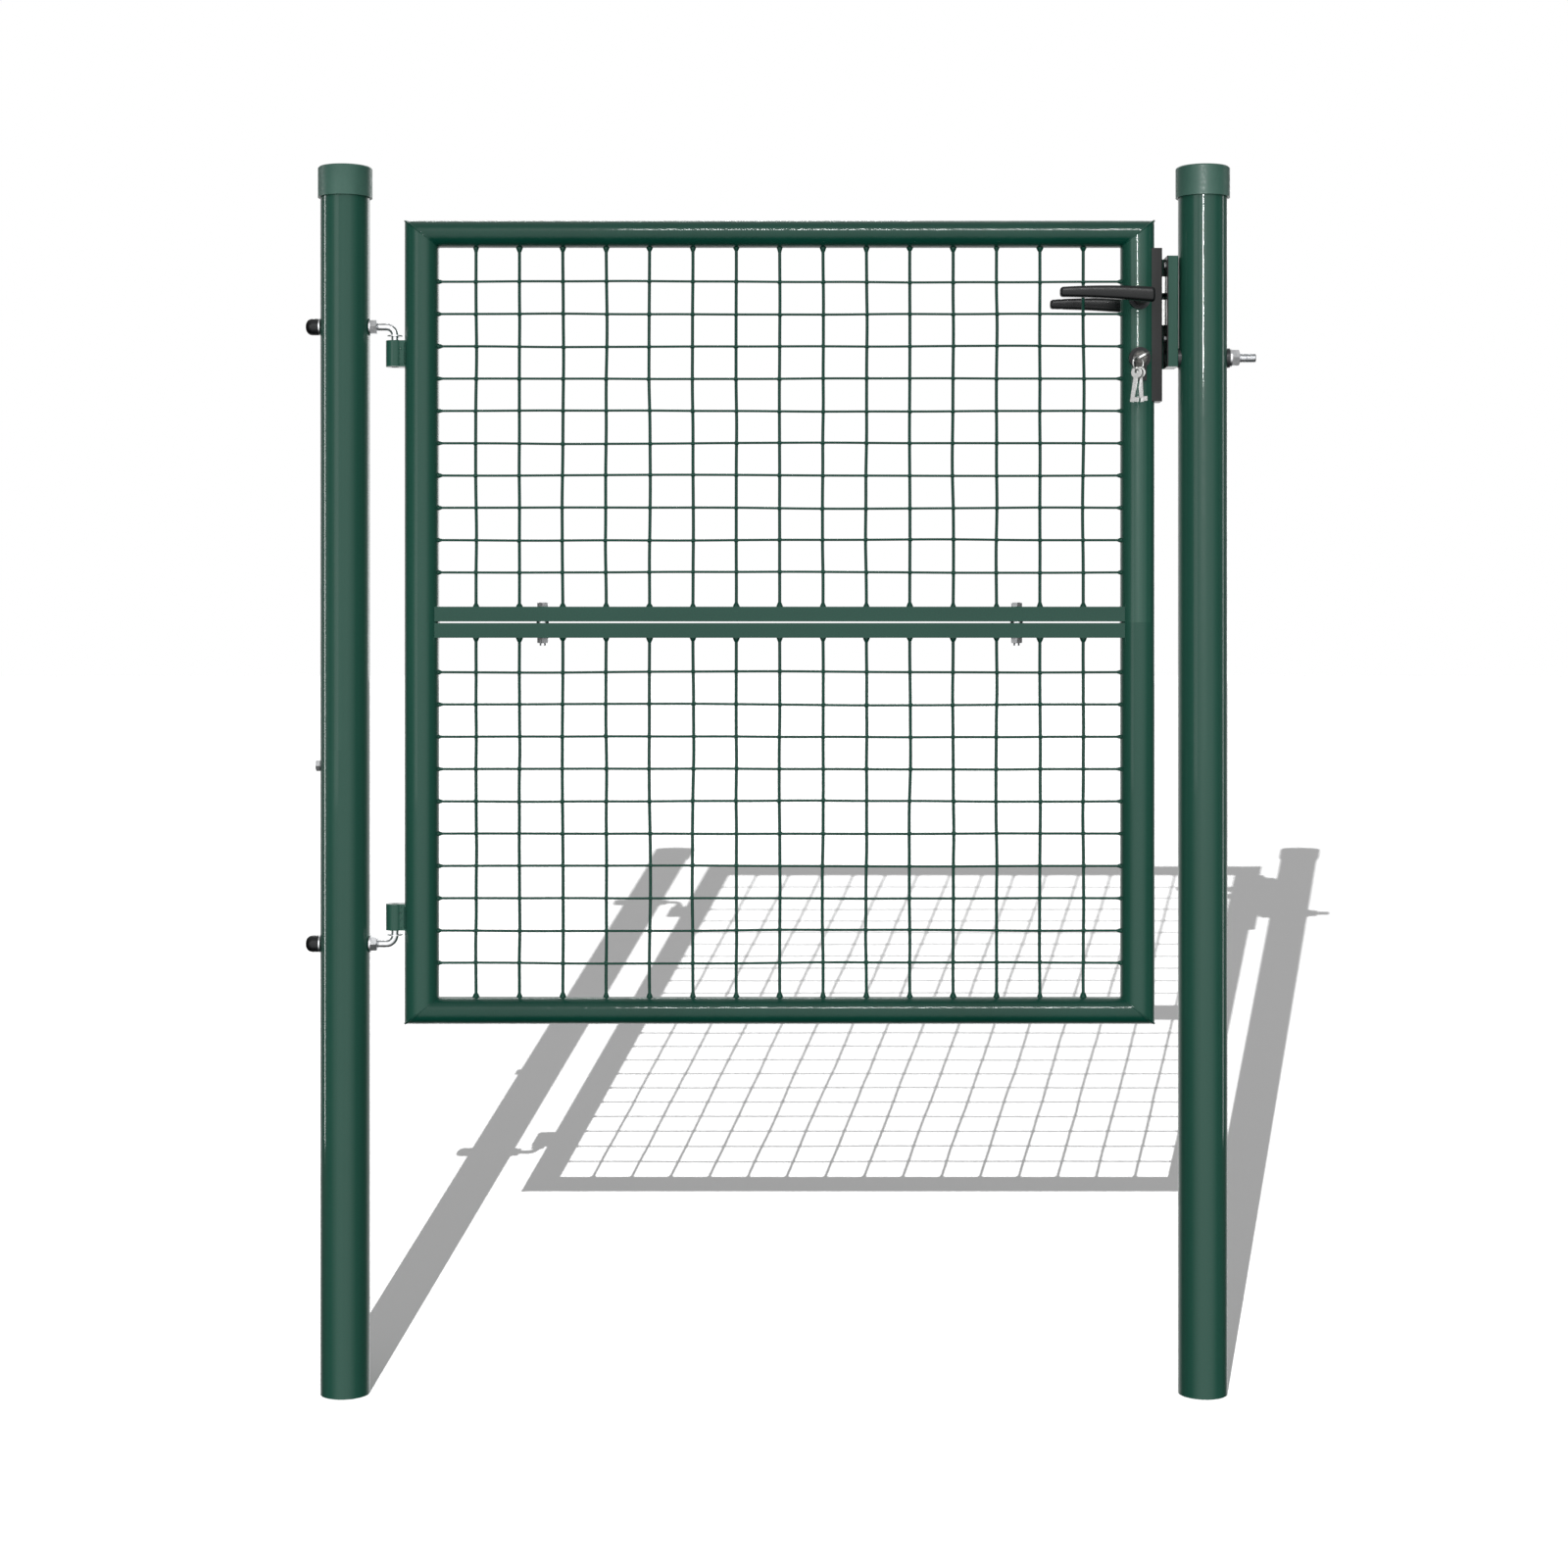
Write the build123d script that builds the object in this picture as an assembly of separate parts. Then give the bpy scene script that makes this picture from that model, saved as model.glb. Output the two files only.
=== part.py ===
from build123d import *
import os
from math import cos, radians, sin, sqrt, tan

# Single-leaf welded mesh gate on two round posts. Millimetres, +Z up.
# Origin: centre of the hinge post's bottom end. +X runs to the latch post, -Y faces the user.

# ---- posts ----
post_radius = 30.0
post_wall = 1.5
post_height = 1500.0
post_spacing = 1050.0
post_seam_height = 788.0
cap_height = 37.0
cap_wall = 3.0
cap_clearance = 0.1
cap_edge = 1.6
sleeve_length = 160.0
sleeve_clearance = 0.15
sleeve_bolt_drop = 20.0

# ---- leaf ----
leaf_bottom = 452.0
leaf_top = 1435.0
hinge_gap = 43.0
latch_gap = 29.0
stile_radius = 21.0
rail_height = 33.0
leaf_wall = 1.5
seam_height = 943.5
mid_rail_height = 18.0
mid_rail_depth = 25.0
mid_rail_gap = 2.0
spigot_length = 120.0
spigot_clearance = 0.15
leaf_bolt_inset = 169.0

# ---- mesh ----
upright_wire_radius = 2.0
cross_wire_radius = 1.5
upright_wire_count = 15
cross_wire_count = 10
upright_wire_pitch = 53.1
cross_wire_pitch = 39.5
wire_clearance = 0.1

# ---- hinges ----
upper_hinge_height = 1305.0
lower_hinge_height = 550.0
hinge_rod_radius = 4.5
hinge_bend_radius = 10.5
hinge_pin_inset = 12.0
hinge_pin_setback = 1.0
hinge_stud_length = 3.0
barrel_radius = 11.0
barrel_height = 32.0
barrel_drop = 17.0
barrel_clearance = 0.06
barrel_web_share = 0.8
pin_washer_radius = 9.3
pin_washer_thickness = 1.2
nut_cap_radius = 10.2
nut_cap_crown = 5.0
nut_cap_rounding = 8.0

# ---- fasteners: thread radius, width across flats, nut height, washer radius and thickness ----
m5_radius = 2.5
m8_radius = 4.0
m8_flats = 13.0
m8_nut_height = 6.5
m8_head_height = 5.3
m8_washer_radius = 8.0
m8_washer_thickness = 1.6
m10_radius = 5.0
m10_flats = 16.0
m10_nut_height = 8.0
m10_washer_radius = 10.5
m10_washer_thickness = 1.6
m12_radius = 6.0
m12_flats = 19.0
m12_nut_height = 9.5
m12_head_height = 7.0
m12_washer_radius = 12.0
m12_washer_thickness = 2.5
hole_clearance = 0.3
head_crown_share = 0.475
head_chamfer_angle = 30.0
m12_flat_washer_radius = 11.0

# ---- lock ----
lock_middle_height = 1306.5
faceplate_height = 187.0
faceplate_margin = 1.5
faceplate_thickness = 2.5
faceplate_proud = 7.5
faceplate_rounding = 1.2
case_height = 153.0
case_width = 20.0
case_back_reach = 15.5
case_wall = 1.5
case_clearance = 0.5
spindle_height = 1337.0
cylinder_drop = 72.0
slide_clearance = 0.3

latch_height = 20.0
latch_thickness = 12.0
latch_middle_height = 1356.0
latch_back_gap = 8.5
latch_tail_length = 14.0
latch_tail_rise = 1.0
latch_tail_height = 5.0
latch_tail_bar = 2.0
latch_tail_crosspiece = 2.5
latch_bevel = 4.0
bolt_gap = 0.5
deadbolt_top = 1338.0
deadbolt_bottom = 1307.0
deadbolt_thickness = 8.0
deadbolt_nose_length = 17.0
deadbolt_body_reach = 3.5
deadbolt_step_height = 20.0
deadbolt_tail_length = 26.0
deadbolt_tail_width = 8.0
deadbolt_tail_thickness = 4.0
deadbolt_tail_gap = 12.0
spring_radius = 3.5
spring_wire_radius = 0.6
spring_coils = 6
spring_end_gap = 0.1
spring_drop = 5.25
tail_clearance = 1.0

# ---- levers ----
lever_length = 101.0
lever_heel = 13.0
lever_heel_height = 18.0
lever_tip_height = 14.0
lever_thickness = 14.0
lever_reach = 53.0
neck_radius = 8.0
bush_radius = 13.0
bush_body_radius = 10.0
bush_proud = 4.0
running_clearance = 0.08
spindle_size = 8.0
spindle_clearance = 0.05
hub_radius = 8.0
hub_arm_radius = 13.0
hub_arm_width = 4.0
grub_setback = 12.0
grub_proud = 0.4
lever_corner = 2.5
lever_arch = 2.0
lever_rounding = 2.5
lever_edge = 1.6
neck_gap = 2.0
socket_stop = 2.0
spindle_setback = 4.0
bush_overlap = 1.0

# ---- cylinder and keys ----
profile_radius = 8.5
profile_web = 10.0
profile_height = 33.0
cylinder_half_length = 27.0
cylinder_clearance = 0.2
plug_radius = 6.5
plug_proud = 0.5
cam_half_width = 4.5
cam_radius = 13.5
cam_width = 6.0
cam_setback = 1.0
escutcheon_radius = 13.0
escutcheon_rim = 3.0
escutcheon_tail_half = 8.0
key_tilt = 28.0
key_thickness = 2.2
key_blade_width = 7.8
key_blade_length = 20.0
key_bow_radius = 11.5
key_bow_reach = 13.5
key_hole_radius = 4.0
key_hole_offset = 3.0
key_hole_setback = 4.5
key_shoulder_gap = 0.6
ring_radius = 8.25
ring_wire_radius = 0.8
ring_lean = 24.0
ring_turn = 35.0
spare_bow_radius = 6.6
spare_hole_radius = 2.9
spare_hang_clearance = 0.6
spare_length = 38.0
spare_stem_width = 5.2
spare_thickness = 1.6
spare_bit_height = 5.5
spare_bit_reach = 5.0
spare_bit_root = 1.0
spare_rim = 1.6
spare_hangs = ((-16.0, 9.0), (26.0, -3.0))
spare_face_turn = -30.0

# ---- keeper ----
keeper_gap = 5.5
keeper_bottom = 1255.0
keeper_top = 1390.0
keeper_width = 36.0
keeper_wall = 2.0
keeper_rounding = 1.5
keeper_saddle = 2.5
strike_thickness = 1.5
pocket_clearance = 1.5
keeper_bolt_rise = 12.0
keeper_stud_length = 20.0
stop_thickness = 3.0
stop_reach = 6.0
stop_clearance = 1.0
strike_screw_inset = 10.0
strike_screw_rise = 24.0
screw_head_radius = 4.0
screw_head_height = 1.6

# ---- derived places ----
post_crown = post_height - cap_wall
hinge_stile_x = post_radius + hinge_gap + stile_radius
leaf_left = hinge_stile_x - stile_radius
leaf_right = post_spacing - post_radius - latch_gap
lock_stile_x = leaf_right - stile_radius
pin_x = leaf_left - hinge_pin_inset
faceplate_x = leaf_right + faceplate_proud
case_front = faceplate_x - faceplate_thickness
case_back = lock_stile_x - case_back_reach
faceplate_width = case_width + 2 * (faceplate_thickness + faceplate_margin)
cylinder_height = spindle_height - cylinder_drop
keeper_x = faceplate_x + keeper_gap
keeper_back = post_spacing - post_radius - keeper_saddle
nose_x = keeper_x - bolt_gap
keeper_bolt_height = keeper_bottom + keeper_bolt_rise
inside_left = leaf_left + 2 * stile_radius
inside_right = leaf_right - 2 * stile_radius


def rod(radius, start, end):
    """A round bar between two points."""
    run = Vector(*end) - Vector(*start)
    return Solid.make_cylinder(radius, run.length, Plane(origin=start, z_dir=run.normalized()))


def pipe(outer, inner, start, end):
    """A round tube between two points."""
    return rod(outer, start, end) - rod(inner, start, end)


def lock_rod(radius, y0, y1, height):
    """A round bar along Y through the lock stile's middle."""
    return rod(radius, (lock_stile_x, y0, height), (lock_stile_x, y1, height))


def block(x0, x1, y0, y1, z0, z1):
    """A box between two corners."""
    middle = ((x0 + x1) / 2, (y0 + y1) / 2, (z0 + z1) / 2)
    return Pos(*middle) * Box(abs(x1 - x0), abs(y1 - y0), abs(z1 - z0))


def hexagon(flats, start, end, turn=30.0):
    """A hexagonal prism between two points."""
    run = Vector(*end) - Vector(*start)
    side = Vector(0, 0, 1) if abs(run.Z) < 0.5 * run.length else Vector(1, 0, 0)
    plane = Plane(origin=start, x_dir=side, z_dir=run.normalized())
    outline = plane * Rot(0, 0, turn) * RegularPolygon(flats / sqrt(3), 6)
    return extrude(outline, amount=run.length)


def chamfered_hexagon(flats, start, end):
    """A nut or bolt head with its corners turned off at the end point."""
    run = Vector(*end) - Vector(*start)
    crown = head_crown_share * flats
    base = crown + flats / tan(radians(head_chamfer_angle))
    cone = Solid.make_cone(base, crown, flats, Plane(origin=start, z_dir=run.normalized()))
    cone = cone.moved(Location(run.normalized() * (run.length - flats)))
    return hexagon(flats, start, end) & cone


def nut(flats, radius, start, end):
    """A hexagon nut on a thread of the given radius."""
    return chamfered_hexagon(flats, start, end) - rod(radius, start, end)


def save(node, *solids):
    """Writes one node, a single solid or a group of separate ones."""
    pieces = [s for shape in solids for s in shape.solids()]
    shape = pieces[0] if len(pieces) == 1 else Compound(children=pieces)
    export_step(shape, os.path.join("parts", node + ".step"))


# ---- posts ----
def post_hole(x, height, radius, sides):
    """A cutter along X through one wall or both walls of a post."""
    reach = 2 * post_radius
    return rod(radius, (x + sides[0] * reach, 0, height), (x + sides[1] * reach, 0, height))


def sleeve_bolt_way(x):
    """Direction in which a post's sleeve bolt points outwards: away from the leaf, or to the rear."""
    return (-1, 0) if x == 0 else (0, 1)


def sleeve_bolt_cut(x):
    """The hole for a post's sleeve bolt, through tube and sleeve on one side."""
    way = sleeve_bolt_way(x)
    height = post_seam_height - sleeve_bolt_drop
    far = (x + way[0] * 2 * post_radius, way[1] * 2 * post_radius, height)
    return rod(m8_radius + hole_clearance, (x, 0, height), far)


def make_post(name, x, holes):
    """Lower tube, upper tube, joining sleeve and cap of one post."""
    bore = post_radius - post_wall
    lower = pipe(post_radius, bore, (x, 0, 0), (x, 0, post_seam_height)) - sleeve_bolt_cut(x)
    upper = pipe(post_radius, bore, (x, 0, post_seam_height), (x, 0, post_crown))
    for height, radius in holes:
        cutter = post_hole(x, height, radius, (-1, 1))
        if height > post_seam_height:
            upper -= cutter
        else:
            lower -= cutter
    save(name + "_post_lower", lower)
    save(name + "_post_upper", upper)
    outer = bore - sleeve_clearance
    low = post_seam_height - sleeve_length / 2
    sleeve = pipe(outer, outer - post_wall, (x, 0, low), (x, 0, low + sleeve_length))
    save(name + "_post_sleeve", sleeve - sleeve_bolt_cut(x))
    cap = rod(post_radius + cap_wall, (x, 0, post_height - cap_height), (x, 0, post_height))
    cap = chamfer(cap.edges().sort_by(Axis.Z)[-1], cap_edge)
    cap -= rod(post_radius + cap_clearance, (x, 0, post_height - cap_height), (x, 0, post_crown))
    save(name + "_post_cap", cap)


def make_sleeve_bolts():
    """One bolt and one welded nut for each post's sleeve."""
    bolts = []
    nuts = []
    height = post_seam_height - sleeve_bolt_drop
    inner = post_radius - 2 * post_wall - sleeve_clearance
    for x in (0.0, post_spacing):
        way = Vector(*sleeve_bolt_way(x), 0)
        centre = Vector(x, 0, height)
        seat = centre + way * post_radius
        top = seat + way * m8_head_height
        end = centre + way * (inner - m8_nut_height - m8_washer_thickness)
        bolts.append(
            rod(m8_radius, tuple(end), tuple(seat)) + chamfered_hexagon(m8_flats, tuple(seat), tuple(top))
)
        flush = sqrt(inner**2 - (m8_flats / sqrt(3)) ** 2)
        nuts.append(
            nut(
                m8_flats,
                m8_radius,
                tuple(centre + way * flush),
                tuple(centre + way * (flush - m8_nut_height)),
)
)
    save("sleeve_bolts", *bolts)
    save("sleeve_nuts", *nuts)


# ---- hinges ----
def hinge_levels():
    """Rod height and the way its pin points for the upper and lower hinge."""
    return (("upper", upper_hinge_height, -1), ("lower", lower_hinge_height, 1))


def barrel_span(rod_height, way):
    """Lowest and highest point of a hinge barrel."""
    near = rod_height + way * barrel_drop
    far = near + way * barrel_height
    return min(near, far), max(near, far)


def make_hinge_bolt(name, rod_height, way):
    """The L-shaped hinge bolt: threaded leg through the post, bend, and upright pin."""
    nut_face = post_radius + m10_washer_thickness + m10_nut_height
    tail = -nut_face - hinge_stud_length
    low, high = barrel_span(rod_height, way)
    pin_end = (low if way < 0 else high) - way * hinge_pin_setback
    bend_x = pin_x - hinge_bend_radius
    leg_end = nut_face + hinge_stud_length
    threaded = rod(m10_radius, (tail, 0, rod_height), (leg_end, 0, rod_height))
    shank = rod(hinge_rod_radius, (leg_end, 0, rod_height), (bend_x, 0, rod_height))
    corner = Plane(origin=(bend_x, 0, rod_height), z_dir=(1, 0, 0))
    spine = Axis((bend_x, 0, rod_height + way * hinge_bend_radius), (0, -way, 0))
    bend = revolve(corner * Circle(hinge_rod_radius), axis=spine, revolution_arc=90)
    pin = rod(hinge_rod_radius, (pin_x, 0, rod_height + way * hinge_bend_radius), (pin_x, 0, pin_end))
    save(name + "_hinge_bolt", threaded + shank + bend + pin)


def make_barrel(name, rod_height, way):
    """The leaf's barrel for one hinge pin, with its web coped to the stile."""
    low, high = barrel_span(rod_height, way)
    barrel = rod(barrel_radius, (pin_x, 0, low), (pin_x, 0, high))
    web = block(pin_x, hinge_stile_x, -barrel_web_share * barrel_radius, barrel_radius, low, high)
    stile = rod(stile_radius, (hinge_stile_x, 0, low - 1), (hinge_stile_x, 0, high + 1))
    inside = block(pin_x, hinge_stile_x - 0.5 * stile_radius, -barrel_radius, barrel_radius, low, high)
    bore = rod(hinge_rod_radius + barrel_clearance, (pin_x, 0, low), (pin_x, 0, high))
    body = barrel + ((web & inside) - stile) - bore
    save(name + "_hinge_barrel", body)


def make_hinge_hardware():
    """Nuts, washers, nut caps and pin washers of both hinge bolts."""
    nuts = []
    washers = []
    caps = []
    pin_washers = []
    for _, height, way in hinge_levels():
        for side in (-1, 1):
            face = side * post_radius
            seat = side * (post_radius + m10_washer_thickness)
            top = side * (post_radius + m10_washer_thickness + m10_nut_height)
            washers.append(
                pipe(m10_washer_radius, m10_radius + hole_clearance, (face, 0, height), (seat, 0, height))
)
            nuts.append(nut(m10_flats, m10_radius, (seat, 0, height), (top, 0, height)))
        seat = -post_radius - m10_washer_thickness
        room = seat - m10_nut_height - hinge_stud_length - slide_clearance
        cap = rod(nut_cap_radius, (seat, 0, height), (room - nut_cap_crown, 0, height))
        cap = fillet(cap.edges().sort_by(Axis.X)[0], nut_cap_rounding)
        flats = m10_flats + 2 * slide_clearance
        nut_end = seat - m10_nut_height - slide_clearance
        cap -= hexagon(flats, (seat, 0, height), (nut_end, 0, height))
        caps.append(cap - rod(m10_radius + slide_clearance, (seat, 0, height), (room, 0, height)))
        level = height + way * hinge_bend_radius
        pin_washers.append(
            pipe(
                pin_washer_radius,
                hinge_rod_radius + hole_clearance,
                (pin_x, 0, level),
                (pin_x, 0, level + way * pin_washer_thickness),
)
        )
    save("hinge_nuts", *nuts)
    save("hinge_washers", *washers)
    save("hinge_nut_caps", *caps)
    save("hinge_pin_washers", *pin_washers)


# ---- leaf frame ----
def mitre_plane(corner_x, corner_z, way_x, way_z):
    """The plane through a leaf corner where a stile meets a rail; its normal points along the rail."""
    run = Vector(way_x * 2 * stile_radius, 0, way_z * rail_height).normalized()
    normal = Vector(way_x * abs(run.Z), 0, -way_z * abs(run.X))
    return Plane(origin=(corner_x, 0, corner_z), z_dir=normal)


def stile_solid(x, corner_z, seam, radius):
    """A round bar the size of a stile, from the seam to its mitred corner."""
    way_z = 1 if seam > corner_z else -1
    way_x = 1 if x < post_spacing / 2 else -1
    bar = rod(radius, (x, 0, seam), (x, 0, corner_z))
    plane = mitre_plane(x - way_x * stile_radius, corner_z, way_x, way_z)
    return bar.split(plane, keep=Keep.BOTTOM)


def rail_solid(corner_z, way_z, trim):
    """An oval bar the size of an outer rail, mitred at both ends and thinned by trim all round."""
    middle = corner_z + way_z * rail_height / 2
    plane = Plane(origin=(leaf_left, 0, middle), x_dir=(0, 1, 0), z_dir=(1, 0, 0))
    outline = plane * Ellipse(stile_radius - trim, rail_height / 2 - trim)
    bar = extrude(outline, amount=leaf_right - leaf_left).solids()[0]
    bar = bar.split(mitre_plane(leaf_left, corner_z, 1, way_z), keep=Keep.TOP)
    return bar.split(mitre_plane(leaf_right, corner_z, -1, way_z), keep=Keep.TOP)


def profile_cut(clearance, y0, y1):
    """The cylinder's keyhole-shaped profile as a bar along Y."""
    bottom = cylinder_height + profile_radius - profile_height + profile_web / 2
    round_part = lock_rod(profile_radius + clearance, y0, y1, cylinder_height)
    half = profile_web / 2 + clearance
    web = block(lock_stile_x - half, lock_stile_x + half, y0, y1, bottom, cylinder_height)
    foot = rod(half, (lock_stile_x, y0, bottom), (lock_stile_x, y1, bottom))
    return round_part + web + foot


def lock_stile_cuts():
    """The slot and holes that the lock needs in its stile."""
    half = case_width / 2 + case_clearance
    low = lock_middle_height - case_height / 2 - case_clearance
    high = lock_middle_height + case_height / 2 + case_clearance
    reach = 2 * stile_radius
    slot = block(lock_stile_x, leaf_right + reach, -half, half, low, high)
    bush = lock_rod(bush_body_radius + slide_clearance, -reach, reach, spindle_height)
    return slot + bush + profile_cut(cylinder_clearance, -reach, reach)


def make_stiles():
    """The four stile halves, each a round tube mitred at its outer corner."""
    for half, corner_z in (("upper", leaf_top), ("lower", leaf_bottom)):
        for side, x in (("hinge", hinge_stile_x), ("lock", lock_stile_x)):
            tube = stile_solid(x, corner_z, seam_height, stile_radius)
            tube -= stile_solid(x, corner_z, seam_height, stile_radius - leaf_wall)
            if (half, side) == ("upper", "lock"):
                tube -= lock_stile_cuts()
            save(half + "_" + side + "_stile", tube)


def make_rails():
    """The oval top and bottom rails."""
    save("top_rail", rail_solid(leaf_top, -1, 0) - rail_solid(leaf_top, -1, leaf_wall))
    save("bottom_rail", rail_solid(leaf_bottom, 1, 0) - rail_solid(leaf_bottom, 1, leaf_wall))


def mid_rail_span(half):
    """Lowest and highest point of a middle rail."""
    if half == "upper":
        low = seam_height + mid_rail_gap / 2
        return low, low + mid_rail_height
    high = seam_height - mid_rail_gap / 2
    return high - mid_rail_height, high


def leaf_bolt_places():
    """X of the two bolts that hold the leaf's halves together."""
    return (leaf_left + leaf_bolt_inset, leaf_right - leaf_bolt_inset)


def stile_envelope():
    """Both stiles as solid bars, for coping what meets them."""
    left = rod(stile_radius, (hinge_stile_x, 0, leaf_bottom), (hinge_stile_x, 0, leaf_top))
    right = rod(stile_radius, (lock_stile_x, 0, leaf_bottom), (lock_stile_x, 0, leaf_top))
    return left, right


def make_mid_rails():
    """The square middle rails, coped to the stiles and drilled for the leaf bolts."""
    left, right = stile_envelope()
    depth = mid_rail_depth / 2
    for half in ("upper", "lower"):
        low, high = mid_rail_span(half)
        outer = block(hinge_stile_x, lock_stile_x, -depth, depth, low, high)
        skin = leaf_wall
        inner = block(hinge_stile_x, lock_stile_x, skin - depth, depth - skin, low + skin, high - skin)
        rail = outer - inner - left - right
        for x in leaf_bolt_places():
            rail -= rod(m8_radius + hole_clearance, (x, 0, low - 1), (x, 0, high + 1))
        save(half + "_mid_rail", rail)


def make_leaf_fasteners():
    """Spigots in the stiles, and the bolts, nuts and washers between the middle rails."""
    outer = stile_radius - leaf_wall - spigot_clearance
    foot = seam_height - spigot_length / 2
    head = foot + spigot_length
    spigots = [
        pipe(outer, outer - leaf_wall, (x, 0, foot), (x, 0, head)) for x in (hinge_stile_x, lock_stile_x)
]
    save("stile_spigots", *spigots)
    bolts = []
    nuts = []
    washers = []
    low = mid_rail_span("lower")[0]
    high = mid_rail_span("upper")[1]
    for x in leaf_bolt_places():
        end = low - m8_nut_height - hinge_stud_length
        bolts.append(
            rod(m8_radius, (x, 0, end), (x, 0, high)) + chamfered_hexagon(
                m8_flats, (x, 0, high), (x, 0, high + m8_head_height)
)
)
        nuts.append(nut(m8_flats, m8_radius, (x, 0, low), (x, 0, low - m8_nut_height)))
        gap = mid_rail_gap / 2
        washers.append(
            pipe(
                m8_washer_radius,
                m8_radius + hole_clearance,
                (x, 0, seam_height - gap),
                (x, 0, seam_height + gap),
)
)
    save("leaf_bolts", *bolts)
    save("leaf_nuts", *nuts)
    save("leaf_gap_washers", *washers)


# ---- mesh ----
def spread(count, pitch, middle):
    """Evenly pitched places about a middle."""
    return [middle + (i - (count - 1) / 2) * pitch for i in range(count)]


def make_mesh():
    """Upright and cross wires of both halves, each wire cut to the tube it is welded to."""
    offset = upright_wire_radius + cross_wire_radius + wire_clearance
    left, right = stile_envelope()
    middle_x = (inside_left + inside_right) / 2
    for half, corner_z, way_z in (("upper", leaf_top, -1), ("lower", leaf_bottom, 1)):
        low, high = mid_rail_span(half)
        near = high if half == "upper" else low
        far = corner_z + way_z * rail_height / 2
        rail = rail_solid(corner_z, way_z, 0)
        uprights = [
            rod(upright_wire_radius, (x, 0, near), (x, 0, far)) - rail
            for x in spread(upright_wire_count, upright_wire_pitch, middle_x)
        ]
        save(half + "_upright_wires", *uprights)
        middle_z = (near + corner_z + way_z * rail_height) / 2
        crosses = [
            rod(cross_wire_radius, (hinge_stile_x, -offset, z), (lock_stile_x, -offset, z)) - left - right
            for z in spread(cross_wire_count, cross_wire_pitch, middle_z)
        ]
        save(half + "_cross_wires", *crosses)


# ---- lock ----
def faceplate_span():
    """Lowest and highest point of the faceplate."""
    return lock_middle_height - faceplate_height / 2, lock_middle_height + faceplate_height / 2


def nose_cut(low, high, thickness, clearance, x0, x1):
    """A rectangular opening that a bolt's nose passes through."""
    half = thickness / 2 + clearance
    return block(x0, x1, -half, half, low - clearance, high + clearance)


def latch_span():
    """Lowest and highest point of the latch bolt's nose."""
    return latch_middle_height - latch_height / 2, latch_middle_height + latch_height / 2


def faceplate_screw_heights():
    """Heights of the faceplate's two screws, beyond the ends of the case."""
    low, high = faceplate_span()
    inset = (faceplate_height - case_height) / 4
    return (low + inset, high - inset)


def make_faceplate():
    """The black channel that closes the lock case, coped to the stile."""
    low, high = faceplate_span()
    half = faceplate_width / 2
    plate = block(lock_stile_x, faceplate_x, -half, half, low, high)
    plate = fillet(plate.edges().filter_by(Axis.Z).group_by(Axis.X)[-1], faceplate_rounding)
    hollow = half - faceplate_thickness
    plate -= block(
        lock_stile_x - 1,
        case_front,
        -hollow,
        hollow,
        low + faceplate_thickness,
        high - faceplate_thickness,
)
    plate -= stile_envelope()[1]
    latch_low, latch_high = latch_span()
    plate -= nose_cut(
        latch_low, latch_high, latch_thickness, slide_clearance, case_front - 1, faceplate_x + 1
)
    plate -= nose_cut(
        deadbolt_bottom,
        deadbolt_top,
        deadbolt_thickness,
        slide_clearance,
        case_front - 1,
        faceplate_x + 1,
)
    screws = []
    for z in faceplate_screw_heights():
        shaft = rod(m5_radius, (leaf_right, 0, z), (faceplate_x, 0, z))
        head = Solid.make_cone(
            m5_radius,
            screw_head_radius,
            screw_head_height,
            Plane((faceplate_x - screw_head_height, 0, z), z_dir=(1, 0, 0)),
)
        plate -= shaft + head
        socket = hexagon(m5_radius, (faceplate_x, 0, z), (faceplate_x - screw_head_height, 0, z))
        screws.append(shaft + head - socket)
    save("lock_faceplate", plate)
    save("faceplate_screws", *screws)


def make_lock_case():
    """The sheet case inside the stile, open towards the faceplate."""
    half = case_width / 2
    low = lock_middle_height - case_height / 2
    high = lock_middle_height + case_height / 2
    case = block(case_back, case_front, -half, half, low, high)
    wall = case_wall
    case -= block(case_back + wall, case_front, wall - half, half - wall, low + wall, high - wall)
    spindle_hole = spindle_size / sqrt(2) + 2 * slide_clearance
    case -= lock_rod(spindle_hole, -case_width, case_width, spindle_height)
    case -= profile_cut(cylinder_clearance, -case_width, case_width)
    save("lock_case", case)


def make_latch():
    """The sprung latch bolt with its forked tail, and the spring behind it."""
    low, high = latch_span()
    half = latch_thickness / 2
    back = lock_stile_x + latch_back_gap
    nose = block(back, nose_x, -half, half, low, high)
    nose = chamfer(nose.edges().filter_by(Axis.Z).group_by(Axis.X)[-1].sort_by(Axis.Y)[-1], latch_bevel)
    tail = back - latch_tail_length
    tail_low = low + latch_tail_rise
    tail_high = tail_low + latch_tail_height
    arm = hub_arm_width / 2 + tail_clearance
    for side in (-1, 1):
        nose += block(tail, back, side * arm, side * (arm + latch_tail_bar), tail_low, tail_high)
    nose += block(tail, tail + latch_tail_crosspiece, -arm, arm, tail_low, tail_high)
    save("latch_bolt", nose)
    start = case_back + case_wall + spring_wire_radius + spring_end_gap
    length = back - start - spring_wire_radius - spring_end_gap
    height = high - spring_drop
    path = Helix(length / spring_coils, length, spring_radius - spring_wire_radius)
    wire = Plane(origin=path @ 0, z_dir=path % 0) * Circle(spring_wire_radius)
    coil = sweep(wire, path=path, is_frenet=True)
    save("latch_spring", Plane(origin=(start, 0, height), z_dir=(1, 0, 0)) * coil)


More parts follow.
